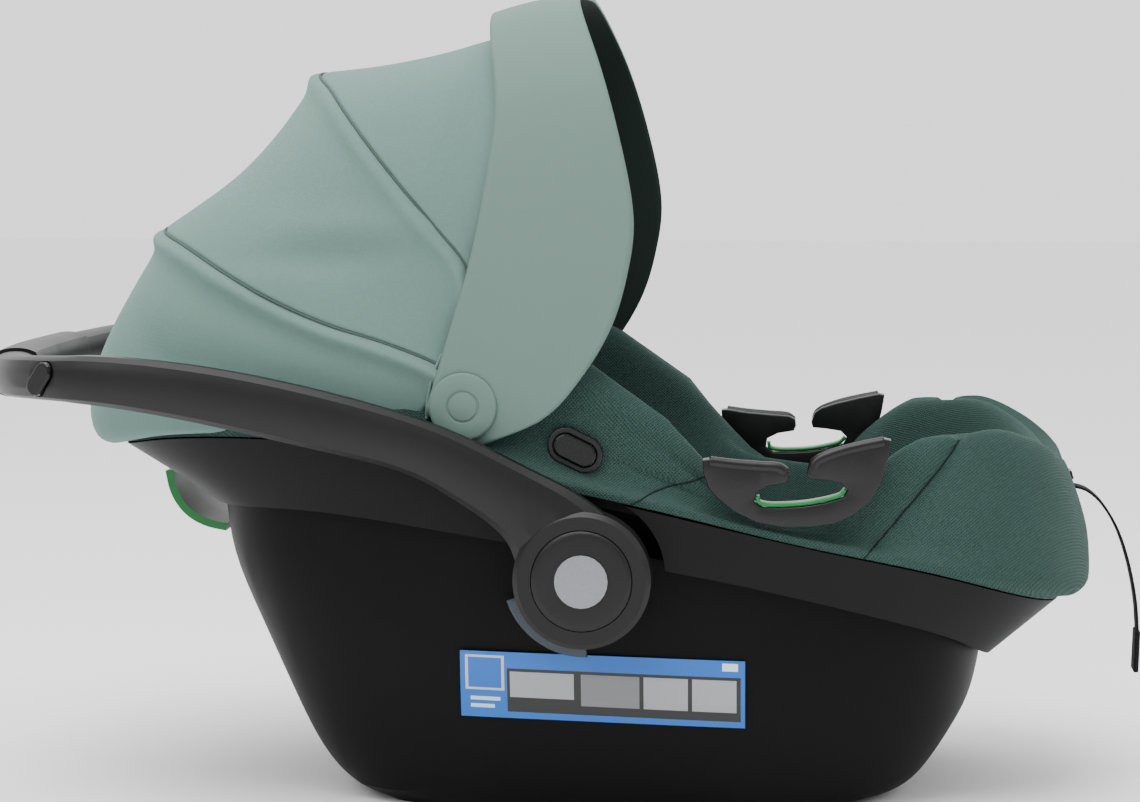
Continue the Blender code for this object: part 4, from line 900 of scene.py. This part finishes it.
def spun(name, profile, centre, axis, *finish, steps=72):
    """A profile of (radius, height) spun once round an axis through centre."""
    bm = bmesh.new()
    side = axis.orthogonal().normalized()
    corners = [bm.verts.new(centre + side * radius + axis * height) for radius, height in profile]
    for a, b in zip(corners, corners[1:]):
        bm.edges.new((a, b))
    bmesh.ops.spin(bm, geom=bm.verts[:] + bm.edges[:], cent=centre, axis=axis, angle=2 * math.pi,
                   steps=steps, use_merge=True)
    bmesh.ops.remove_doubles(bm, verts=bm.verts, dist=1e-5)
    bmesh.ops.recalc_face_normals(bm, faces=bm.faces)
    return piece(name, bm, *finish)


for name, side in SIDES:
    centre = Vector((CANOPY_PIN.x, side * (VISOR_OUTSIDE + 0.0005), CANOPY_PIN.z))
    pin_cover = spun(f"pin_cover_{name}", COVER_PROFILE, centre, Vector((0, side, 0)), laminate)
    bevel = pin_cover.modifiers.new("soft_edges", "BEVEL")
    bevel.width, bevel.segments, bevel.limit_method, bevel.angle_limit = 0.0002, 2, "ANGLE", math.radians(25)
    settle(pin_cover)
    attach(pin_cover, "seat")
    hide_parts(f"canopy_stud_{name}")
    print(pin_cover.name, len(pin_cover.data.polygons), "faces")

# %% [markdown]
# ## Belt hooks
# The lap belt runs through a hook on each side: two arms over a long slot, with a mouth between them. The
# hook is one outline, extruded to its thickness and bevelled. Each arm's top edge is rolled over into a fat
# lip, so that it doesn't cut the belt. The lip is a round bar let into the edge.

# %% Belt hooks
HOOK_OUTLINE = [
    (0.0735, 0.228), (0.074, 0.220), (0.077, 0.211), (0.083, 0.204), (0.093, 0.196), (0.107, 0.189),
    (0.123, 0.186), (0.139, 0.186), (0.155, 0.188), (0.168, 0.194), (0.178, 0.203), (0.184, 0.214),
    (0.188, 0.228), (0.190, 0.240), (0.186, 0.2410), (0.172, 0.2380), (0.156, 0.2340), (0.1455, 0.2305),
    (0.1405, 0.2270), (0.138, 0.220), (0.1390, 0.2163), (0.149, 0.2155), (0.159, 0.2140), (0.1635, 0.2095),
    (0.161, 0.2045), (0.149, 0.201), (0.137, 0.199), (0.123, 0.198), (0.111, 0.198), (0.1055, 0.2015),
    (0.1065, 0.208), (0.114, 0.2118), (0.1255, 0.2138), (0.127, 0.217), (0.1265, 0.2220), (0.122, 0.2243),
    (0.109, 0.2252), (0.092, 0.2265), (0.078, 0.2285)]
LIPS = [
    [(0.0775, 0.2268), (0.092, 0.2250), (0.109, 0.2237), (0.1205, 0.2228), (0.1245, 0.2200)],
    [(0.1415, 0.2190), (0.1435, 0.2262), (0.1560, 0.2320), (0.1720, 0.2362), (0.1858, 0.2390)],
]
STRIP_LINE = [
    (0.1064, 0.2050), (0.1075, 0.2008), (0.113, 0.1990), (0.123, 0.1988), (0.137, 0.1998), (0.149, 0.2019),
    (0.159, 0.2048), (0.1628, 0.2085)]
HOOK_THICK, HOOK_BEVEL, LIP_RADIUS = 0.014, 0.0009, 0.0036
STRIP_THICK, STRIP_INSET, STRIP_STEPS = 0.0022, 0.0008, 48


def hook_place(side, name):
    """From (along, out, up) of a hook to its place on the slanting side of the seat."""
    low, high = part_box(f"belt_hook_{name}")
    inner = min(abs(low.y), abs(high.y))
    slant = (abs(high.y - low.y) - HOOK_THICK) / (high.x - low.x)
    return lambda x, out, z: Vector((x, side * (inner + slant * (high.x - x) + out), z))


for name, side in SIDES:
    put = hook_place(side, name)
    bm = bmesh.new()
    face = bm.faces.new([bm.verts.new(put(x, 0, z)) for x, z in HOOK_OUTLINE])
    wall = bmesh.ops.extrude_face_region(bm, geom=[face])["geom"]
    outer = [v for v in wall if isinstance(v, bmesh.types.BMVert)]
    bmesh.ops.translate(bm, verts=outer, vec=(0, side * HOOK_THICK, 0))
    bmesh.ops.recalc_face_normals(bm, faces=bm.faces)
    rims = [e for e in bm.edges if (e.verts[0] in outer) == (e.verts[1] in outer)]
    bmesh.ops.bevel(bm, geom=rims, offset=HOOK_BEVEL, segments=3, profile=0.5, affect="EDGES", material=-1)
    bmesh.ops.triangulate(bm, faces=[f for f in bm.faces if len(f.verts) > 4])
    for edge in bm.edges:
        edge.smooth = not (edge.is_manifold and edge.calc_face_angle(0) > math.radians(40))
    hook = piece(f"belt_hook_{name}_moulded", bm, hook_plastic)
    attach(hook, "seat")
    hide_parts(f"belt_hook_{name}")
    for number, lip in enumerate(LIPS):
        line = curve_through([put(x, HOOK_THICK - LIP_RADIUS * 0.75, z) for x, z in lip], 40)
        bar = tube_along(f"hook_lip_{name}_{number + 1}", line, LIP_RADIUS, hook_plastic, sides=6)
        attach(bar, "seat")
    line = curve_through([put(x, 0, z) for x, z in STRIP_LINE], STRIP_STEPS + 1)

    def strip_place(u, v):
        out = STRIP_INSET + v * (HOOK_THICK - 2 * STRIP_INSET)
        return line[round(u * STRIP_STEPS)] + Vector((0, side * out, 0))

    strip_piece, _, _ = laid_sheet(f"belt_strip_{name}_moulded", STRIP_STEPS, 4, strip_place, guide_green)
    face_out(strip_piece, lambda p: Vector((0, 0, 1)))
    thicken(strip_piece, STRIP_THICK, offset=1.0)
    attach(strip_piece, "seat")
    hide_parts(f"belt_strip_{name}")
    print(hook.name, len(hook.data.polygons), "faces")

# %% [markdown]
# ## Stitches
# Thread is what tells the eye that cloth is sewn. One stitch is a short round bead, flattened where it
# bites into the cloth. A row of them is the same bead set down at even steps along a line.

# %% Stitches along a line


def stitch_row(name, points, outwards, length, gap, radius, finish):
    """Stitches along points, each lying on the surface whose way out is outwards(k)."""
    bm = bmesh.new()
    total = sum((b - a).length for a, b in zip(points, points[1:]))
    count = max(2, int(total / (length + gap)))
    spots = evenly(points, 2 * count + 1)
    for k in range(count):
        head, tail = spots[2 * k], spots[2 * k + 1]
        along = (tail - head).normalized()
        out = outwards(head)
        side = along.cross(out).normalized()
        made = bmesh.ops.create_icosphere(bm, subdivisions=1, radius=1.0)
        lie = Matrix((along * length * 0.62, side * radius, out * radius)).transposed().to_4x4()
        bmesh.ops.transform(bm, matrix=Matrix.Translation((head + tail) / 2) @ lie, verts=made["verts"])
    bmesh.ops.recalc_face_normals(bm, faces=bm.faces)
    return piece(name, bm, finish)


GUSSET_FOLD = [
    (-0.0990, 0.1822, 0.252), (-0.0985, 0.1822, 0.262), (-0.0968, 0.1822, 0.273), (-0.0935, 0.1820, 0.283),
    (-0.0895, 0.1816, 0.292)]
for name, side in SIDES:
    line = curve_through([Vector((x, side * y, z)) for x, y, z in GUSSET_FOLD], 60)
    gusset = tube_along(f"gusset_fold_{name}", line, 0.0012, canopy_weave)
    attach(gusset, "seat")
    inset = [p + Vector((0.0034, 0, 0.0)) for p in line]
    row = stitch_row(
        f"gusset_stitches_{name}", inset, lambda p: Vector((0, side, 0)), 0.0026, 0.0014, 0.00045,
        thread_sage)
    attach(row, "seat")
print("gusset stitched")

# %% [markdown]
# ## The cover
# The padded cover goes from the bottom of the bowl up to the brim, over the wings and down their outside to
# the rim. It is one loft: a ring of edges is extruded again and again, and each new ring is carried to its
# place. Rings are squared ellipses, a little wider at the head.

# %% Rings round the seat
HEAD_FLARE = 0.03
RING_STEPS = 240
WING_BACK, WING_FRONT, WING_HALF = -0.296, 0.2973, 0.1675
WALL, LINING, SKIRT = 0.004, 0.008, 0.0045
DISH_BACK = [(-0.262, 0.245), (-0.212, 0.197), (-0.136, 0.147), (-0.060, 0.111), (-0.008, 0.097)]
DISH_FRONT = [(0.264, 0.175), (0.210, 0.135), (0.150, 0.108), (0.098, 0.095), (0.050, 0.091)]
DISH_HALF = [0.1450, 0.1320, 0.1120, 0.0780, 0.0400]


def ring(back, front, half, height):
    """Points round the seat between x = back and front, at height(x)."""
    middle, reach = (front + back) / 2, (front - back) / 2
    points = []
    for k in range(RING_STEPS):
        angle = 2 * math.pi * k / RING_STEPS
        x = middle + reach * power(math.cos(angle), 2 / SQUARENESS)
        y = half * (1 + HEAD_FLARE * (middle - x) / reach) * power(math.sin(angle), 2 / SQUARENESS)
        points.append(Vector((x, y, height(x))))
    return points


def sloped(low, high):
    """The height of a straight line through two (x, height) points."""
    return lambda x: low[1] + (high[1] - low[1]) * (x - low[0]) / (high[0] - low[0])


def wing(inset, drop):
    """A ring inset from the wings' outside, drop below their top."""
    return ring(WING_BACK + inset, WING_FRONT - inset, WING_HALF - inset, lambda x: wing_top(x) - drop)


cover_rings = [ring(low[0], high[0], half, sloped(low, high))
               for low, high, half in zip(DISH_BACK, DISH_FRONT, DISH_HALF)][::-1]
cover_rings += [
    wing(LINING + WALL, 0.004), wing(WALL * 0.6, -0.002), wing(-SKIRT * 0.7, 0.005),
    ring(WING_BACK - SKIRT, 0.309, WING_HALF + SKIRT, lambda x: (rim_top(x) * 0.45 + wing_top(x) * 0.55)),
    ring(WING_BACK - SKIRT, 0.311, WING_HALF + 0.009, lambda x: (rim_top(x) * 0.80 + wing_top(x) * 0.20)),
    ring(WING_BACK - 0.0110, 0.3060, WING_HALF + 0.0195, lambda x: rim_top(x) + 0.0060),
    ring(WING_BACK - 0.0120, 0.3020, WING_HALF + 0.0205, lambda x: rim_top(x) + 0.0010)]
print(len(cover_rings), "rings of", RING_STEPS)

# %% [markdown]
# Between the drawn rings the surface has to be smooth, so more rings are put in on a curve through the
# drawn ones, point by point. The cover is then cut by seams into panels. Padding swells between seams and
# is pulled in at them, so each point moves out by an amount that grows with its distance from the nearest
# seam, and then levels off. Where a belt hook or a button presses on the cloth it isn't allowed to swell.

# %% Seams and pressed places of the cover
SIDE_SEAMS = [
    [(0.020, 0.196), (0.0295, 0.1997), (0.0432, 0.2067), (0.0557, 0.2105), (0.0713, 0.2144), (0.078, 0.218)],
    [(0.168, 0.160), (0.1744, 0.1668), (0.1836, 0.1762), (0.199, 0.1939), (0.2144, 0.2124), (0.2272, 0.2285),
     (0.236, 0.243), (0.242, 0.256)],
]
fine_seams = [
    [Vector((p.x, p.z)) for p in curve_through([Vector((x, 0, z)) for x, z in seam], 60)]
    for seam in SIDE_SEAMS]
hook_low, hook_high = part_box("belt_hook_left")
bezel_low, bezel_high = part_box("side_bezel_left")
HOOK_EASE, HOOK_REACH, KNOB_REACH = 0.004, 0.022, 0.026


def beyond(value, low, high):
    return max(low - value, value - high, 0.0)


def pressed(point):
    """0 where a hook or a button lies on the cloth, rising to 1 away from it."""
    hook_away = beyond(point.x, hook_low.x + HOOK_EASE, hook_high.x - HOOK_EASE)
    hook = math.hypot(hook_away, beyond(point.z, hook_low.z, 1.0))
    knob = math.hypot(beyond(point.x, bezel_low.x, bezel_high.x), beyond(point.z, bezel_low.z, bezel_high.z))
    return min(1.0, hook / HOOK_REACH) ** 2 * min(1.0, knob / KNOB_REACH) ** 2


SEAMS_FROM_LEVEL, NO_SEAM = 5.4, 0.02


def to_seam(point, level):
    """Distance from the nearest slanting seam. These end at the brim, so inside it no seam is near."""
    flat = Vector((point.x, point.z))
    side = min((flat - spot).length for seam in fine_seams for spot in seam)
    return max(side, NO_SEAM) if level < SEAMS_FROM_LEVEL else side


print("hook from", round(hook_low.x, 3), "to", round(hook_high.x, 3))

# %% [markdown]
# Now the loft itself. The extra rings come from a smooth line through the drawn rings, for each of the
# steps round the seat. The first ring is filled, and the rest grow from its edge.

# %% Loft the cover
SUB_RINGS = 7


def between_rings(rings, each):
    """The drawn rings with extra ones on a smooth curve between them, as (level, points)."""
    tracks = [
        [through([(i, drawn[k][axis]) for i, drawn in enumerate(rings)]) for axis in range(3)]
        for k in range(RING_STEPS)]
    levels = [i / each for i in range((len(rings) - 1) * each + 1)]
    return [(level, [Vector([f(level) for f in track]) for track in tracks]) for level in levels]


def lofted(levels):
    """A surface through rings of equal steps, grown by extruding the edge ring. Its first ring is filled."""
    bm = bmesh.new()
    bmesh.ops.create_circle(bm, cap_ends=True, segments=RING_STEPS, radius=1)
    stored = bm.verts.layers.float.new("level")
    current = sorted(bm.verts, key=lambda v: math.atan2(v.co.y, v.co.x) % (2 * math.pi))
    for vertex, spot in zip(current, levels[0][1]):
        vertex.co = spot
    edges = bm.edges[:]
    for level, points in levels[1:]:
        made = bmesh.ops.extrude_edge_only(bm, edges=edges)["geom"]
        fresh = {v for v in made if isinstance(v, bmesh.types.BMVert)}
        edges = [e for e in made if isinstance(e, bmesh.types.BMEdge) and set(e.verts) <= fresh]
        following = [
            next(e.other_vert(vertex) for e in vertex.link_edges if e.other_vert(vertex) in fresh)
            for vertex in current]
        for vertex, spot in zip(following, points):
            vertex.co = spot
            vertex[stored] = level
        current = following
    bmesh.ops.recalc_face_normals(bm, faces=bm.faces)
    return bm


cover_levels = between_rings(cover_rings, SUB_RINGS)
cover_bm = lofted(cover_levels)
skirt_face = max(cover_bm.faces, key=lambda f: -f.calc_center_median().y)
if skirt_face.normal.y > 0:
    bmesh.ops.reverse_faces(cover_bm, faces=cover_bm.faces)
print(len(cover_bm.faces), "faces in the cover")

# %% [markdown]
# The swelling, the pulled-in seams and a little unevenness are all moves along each vertex's own normal.

# %% Pad the cover
PUFF_SKIRT, PUFF_INSIDE, PUFF_REACH = 0.0052, 0.0030, 0.012
PADDED_FROM, PADDED_TO, SKIRT_FROM = 3.0, 10.4, 6.2  # rings, counted from the bottom of the bowl
FOOT_EXTRA, FOOT_FROM, FOOT_RUN = 0.9, 0.22, 0.07
SEAM_DEPTH, SEAM_WIDTH = 0.0028, 0.0024
GATHER_DEPTH, GATHER_PITCH, GATHER_FADE, GATHER_REACH = 0.00035, 700, 0.010, 0.03
LUMPS = ((13, Vector((7.7, 0, 0)), 0.0012), (34, Vector(), 0.00045))
cover_bm.normal_update()
stored = cover_bm.verts.layers.float["level"]
moves = {}
for vertex in cover_bm.verts:
    point, level = vertex.co, vertex[stored]
    if level < PADDED_FROM or level > PADDED_TO:
        continue
    away, free = to_seam(point, level), pressed(point)
    outside = level > SKIRT_FROM
    full = (PUFF_SKIRT if outside else PUFF_INSIDE) * (1 - math.exp(-away / PUFF_REACH))
    fade = min(1.0, (PADDED_TO - level) / 1.2) * min(1.0, level - PADDED_FROM)
    foot = 1.0 + FOOT_EXTRA * max(0.0, min(1.0, (point.x - FOOT_FROM) / FOOT_RUN)) if outside else 1.0
    groove = SEAM_DEPTH * math.exp(-(away / SEAM_WIDTH) ** 2)
    lumps = sum(noise.noise(point * scale + shift) * height for scale, shift, height in LUMPS)
    gathers = 0.0
    if away < GATHER_REACH:
        wander = 9 * noise.noise(point * 30)
        gathers = math.sin(away * GATHER_PITCH + wander) * GATHER_DEPTH * math.exp(-away / GATHER_FADE)
    moves[vertex] = ((full + lumps) * free * foot - groove + gathers * free) * fade
for vertex, move in moves.items():
    vertex.co += vertex.normal * move
cover = piece("padded_cover", cover_bm, cover_knit)
thicken(cover, 0.0030)
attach(cover, "seat")
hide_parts("seat_cover")
print("padded cover", len(cover.data.polygons), "faces")

# %% [markdown]
# Each seam of the cover gets its thread: the cloth is turned under and stitched, which shows as a fine dark
# line. It is a thin tube laid in the groove, on both sides of the seat.

# %% Seam threads


def on_cover(x, z, side):
    """The cover's outside at x and z, found by looking in from the side."""
    hit, place, normal, _ = cover.ray_cast(Vector((x, side * 0.5, z)), Vector((0, -side, 0)))
    return (place, normal) if hit else None


for name, side in SIDES:
    for number, seam in enumerate(fine_seams):
        found = [on_cover(spot.x, spot.y, side) for spot in seam]
        found = [f for f in found if f is not None and abs(f[0].y) > 0.14]
        line = [place + normal * 0.0001 for place, normal in found]
        if len(line) > 4:
            thread = tube_along(f"cover_seam_{number + 1}_{name}", line, 0.00055, thread_teal)
            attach(thread, "seat")
print("seam threads laid")

# %% [markdown]
# ## Cushions
# The newborn insert, the head support and the pads are stuffed. Each measured solid is turned into an even
# mesh of small quads and blown up by pressure in a cloth simulation with gravity off. The cushion has to keep
# its place, so no point may move further than a few millimetres. The pressure is strong: nearly every point
# of the insert and more than half of the others' points reach that limit. So the simulation only gives the
# way in which a point moves, and the limit sets how full the cushion is. A settled cushion would need less
# pressure.

# %% Inflate a cushion
PRESSURE, FRAMES = 4.0, 20


def inflated(node, name, finish, voxel, limit):
    """A stuffed copy of a measured part. voxel is the size of its quads, limit how far a point may move."""
    made = piece(name, merged(node), finish)
    even = made.modifiers.new("even_quads", "REMESH")
    even.mode, even.voxel_size = "VOXEL", voxel
    settle(made)
    rest = [v.co.copy() for v in made.data.vertices]
    blow = made.modifiers.new("inflate", "CLOTH")
    blow.settings.use_pressure = True
    blow.settings.uniform_pressure_force = PRESSURE
    blow.settings.effector_weights.gravity = 0
    blow.settings.quality = 4
    blow.point_cache.frame_start, blow.point_cache.frame_end = 1, FRAMES
    for frame_number in range(1, FRAMES + 1):
        bpy.context.scene.frame_set(frame_number)
    settle(made)
    bpy.context.scene.frame_set(1)
    for vertex, start_place in zip(made.data.vertices, rest):
        move = vertex.co - start_place
        if move.length > limit:
            vertex.co = start_place + move * (limit / move.length)
    bm = bmesh.new()
    bm.from_mesh(made.data)
    for _ in range(3):
        bmesh.ops.smooth_vert(
            bm, verts=bm.verts, factor=0.5, use_axis_x=True, use_axis_y=True, use_axis_z=True)
    bm.to_mesh(made.data)
    bm.free()
    rounder = made.modifiers.new("rounder", "SUBSURF")
    rounder.levels = rounder.render_levels = 1
    settle(made)
    made.data.shade_smooth()
    return made


print("inflating at pressure", PRESSURE, "for", FRAMES, "frames")

# %% [markdown]
# The insert is a soft jersey tray. After the simulation, quilting is pressed in: a channel along each side
# of the middle, and two across.

# %% Newborn insert
CHANNEL_SIDE, CHANNELS_ACROSS = 0.050, (0.115, -0.02)
CHANNEL_DEPTH, CHANNEL_WIDTH = 0.0022, 0.004
insert = inflated("newborn_insert", "insert_cushion", jersey, 0.006, 0.003)
for vertex in insert.data.vertices:
    x, y = vertex.co.x, vertex.co.y
    channel = min(abs(abs(y) - CHANNEL_SIDE), *(abs(x - at) for at in CHANNELS_ACROSS))
    vertex.co.z -= CHANNEL_DEPTH * math.exp(-(channel / CHANNEL_WIDTH) ** 2)
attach(insert, "seat")
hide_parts("newborn_insert")
print("insert", len(insert.data.polygons), "faces")

# %% [markdown]
# The head support is the fullest cushion: two side bolsters on a back pad. It slides up and down the back,
# so it rides on its own body.

# %% Head support
head_support = inflated("headrest", "head_support_cushion", jersey, 0.0045, 0.003)
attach(head_support, "headrest")
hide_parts("headrest")
print("head support", len(head_support.data.polygons), "faces")

# %% [markdown]
# The pads on the straps are small, so their quads are small as well, and they may swell by a millimetre
# only.

# %% Strap pads
for name, side in SIDES:
    pad = inflated(f"shoulder_pad_{name}", f"shoulder_cushion_{name}", plain_teal, 0.0016, 0.0010)
    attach(pad, "seat")
    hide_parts(f"shoulder_pad_{name}")
crotch_cushion = inflated("crotch_pad", "crotch_cushion", plain_teal, 0.0014, 0.0006)
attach(crotch_cushion, "seat")
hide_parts("crotch_pad")
print("pads", len(crotch_cushion.data.polygons), "faces in the crotch cushion")

# %% [markdown]
# ## Webbing
# A strap is flat, so a simulation would only spoil it. It is laid as a sheet along its route, with the two
# selvedges a little thicker than the middle, and its weave runs along its own map.

# %% Webbing along a route
WEBBING_THICK = 0.0016
SELVEDGE, SELVEDGE_AT, SELVEDGE_WIDTH = 0.00018, 0.9, 0.07


def strap(name, route, width, steps):
    """A flat strap along a route of points, its width across the seat, and the line that it follows."""
    line = curve_through(route, steps + 1)

    def place(u, v):
        k = round(u * steps)
        point = line[k]
        along = (line[min(k + 1, steps)] - line[max(k - 1, 0)]).normalized()
        across = Vector((0, 1, 0))
        across = (across - along * across.dot(along)).normalized()
        out = across.cross(along).normalized()
        selvedge = SELVEDGE * math.exp(-((abs(2 * v - 1) - SELVEDGE_AT) / SELVEDGE_WIDTH) ** 2)
        return point + across * (v - 0.5) * width + out * selvedge

    made, _, _ = laid_sheet(name, steps, 14, place, webbing_black)
    return thicken(made, WEBBING_THICK, offset=0.0), line


print("webbing is", WEBBING_THICK, "m thick")

# %% [markdown]
# A route for each strap comes from its measured part: the middle of the strap is the mean of its vertices
# at each step along the seat. That keeps the webbing exactly where the buckle, the pads and the slots
# expect it.

# %% Route of a measured strap
NEAR_SPOTS, LEAST_STEP = 8, 0.003


def route_of(node, stations=12):
    """Middle points along a measured strap, from the head end to the foot end."""
    unique = sorted({tuple(round(c, 6) for c in vertex.co) for vertex in parts[node].data.vertices})
    spots = [Vector(spot) for spot in unique]
    low, high = spots[0].x, spots[-1].x
    route = []
    for k in range(stations):
        x = low + (high - low) * k / (stations - 1)
        near = sorted(spots, key=lambda p: abs(p.x - x))[:NEAR_SPOTS]
        route.append(sum(near, Vector()) / len(near))
    kept = [route[0]]
    for spot in route[1:]:
        if (spot - kept[-1]).length > LEAST_STEP:
            kept.append(spot)
    return kept


for name, _ in SIDES:
    made, _ = strap(f"shoulder_webbing_{name}", route_of(f"shoulder_strap_{name}"), 0.020, 48)
    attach(made, "seat")
    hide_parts(f"shoulder_strap_{name}")
made, _ = strap("crotch_webbing", route_of("crotch_strap", 8), 0.025, 24)
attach(made, "seat")
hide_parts("crotch_strap")
print("harness laid")

# %% [markdown]
# ## The adjusting strap
# The strap that tightens the harness comes out of its slot at the foot end and hangs down in front. It is
# stiff webbing, pushed out level by the slot and then bent down by its own weight. Its end is folded over and
# sewn, which makes the thicker tab.

# %% Adjusting strap
PULL_ROUTE = [
    (0.3060, 0.1942), (0.3140, 0.1942), (0.3230, 0.1912), (0.3325, 0.1825), (0.3425, 0.166),
    (0.3500, 0.144), (0.3550, 0.119), (0.3568, 0.0975)]
PULL_WIDTH = 0.020
pull_strap, pull_line = strap("pull_strap", [Vector((x, 0, z)) for x, z in PULL_ROUTE], PULL_WIDTH, 90)
pull_length = sum((b - a).length for a, b in zip(pull_line, pull_line[1:]))
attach(pull_strap, "seat")
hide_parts("adjuster_strap")
print("pull strap", round(pull_length, 4), "m")

# %% [markdown]
# The tab is the same webbing folded double: a short block with rounded ends, and a box of stitches on it.

# %% Strap end
TAB_THICK, TAB_PROUD, TAB_BEVEL = 0.0034, 0.0008, 0.0009
TAB_SHIFT = (-0.0002, 0.0008)  # how far forward the tab's foot and its top sit
BOX_HALF_WIDTH, BOX_FROM_TOP, BOX_TO = 0.008, 0.004, 0.016
end_low, end_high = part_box("strap_end")
tab_bm = bmesh.new()
bmesh.ops.create_cube(tab_bm, size=1)
for vertex in tab_bm.verts:
    top = vertex.co.z > 0
    vertex.co = Vector((
        (end_low.x + end_high.x) / 2 + TAB_SHIFT[top] + vertex.co.x * TAB_THICK,
        vertex.co.y * (end_high.y - end_low.y), end_high.z + TAB_PROUD if top else end_low.z))
bmesh.ops.bevel(tab_bm, geom=tab_bm.edges[:], offset=TAB_BEVEL, offset_type="OFFSET", segments=3,
                profile=0.5, affect="EDGES", material=-1)
bmesh.ops.subdivide_edges(tab_bm, edges=tab_bm.edges[:], cuts=2, use_grid_fill=True)
pull_tab = piece("pull_tab", tab_bm, webbing_black)
map_layer = pull_tab.data.uv_layers.new(name="UVMap")
for loop in pull_tab.data.loops:
    spot = pull_tab.data.vertices[loop.vertex_index].co
    map_layer.data[loop.index].uv = (spot.y, spot.z)
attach(pull_tab, "seat")
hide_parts("strap_end")
box_line = [
    Vector((end_high.x - 0.0006, y * BOX_HALF_WIDTH, end_high.z - down)) for y, down in (
        (-1, BOX_FROM_TOP), (1, BOX_FROM_TOP), (1, BOX_TO), (-1, BOX_TO), (-1, BOX_FROM_TOP))]
tab_stitches = stitch_row(
    "pull_tab_stitches", box_line, lambda p: Vector((1, 0, 0)), 0.0022, 0.0010, 0.0004, thread_teal)
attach(tab_stitches, "seat")
[tuple(p) for p in pull_line]
print("tab from", round(end_low.z, 3), "to", round(end_high.z, 3))

# %% [markdown]
# ## The cloth of the sheets
# The canopy panels and the visor are sheets; the area of each canopy panel's flat cloth is printed.

for name, made in canopy_cloths.items():
    print(name, "area", round(sum(p.area for p in made.data.polygons) / 2, 4))
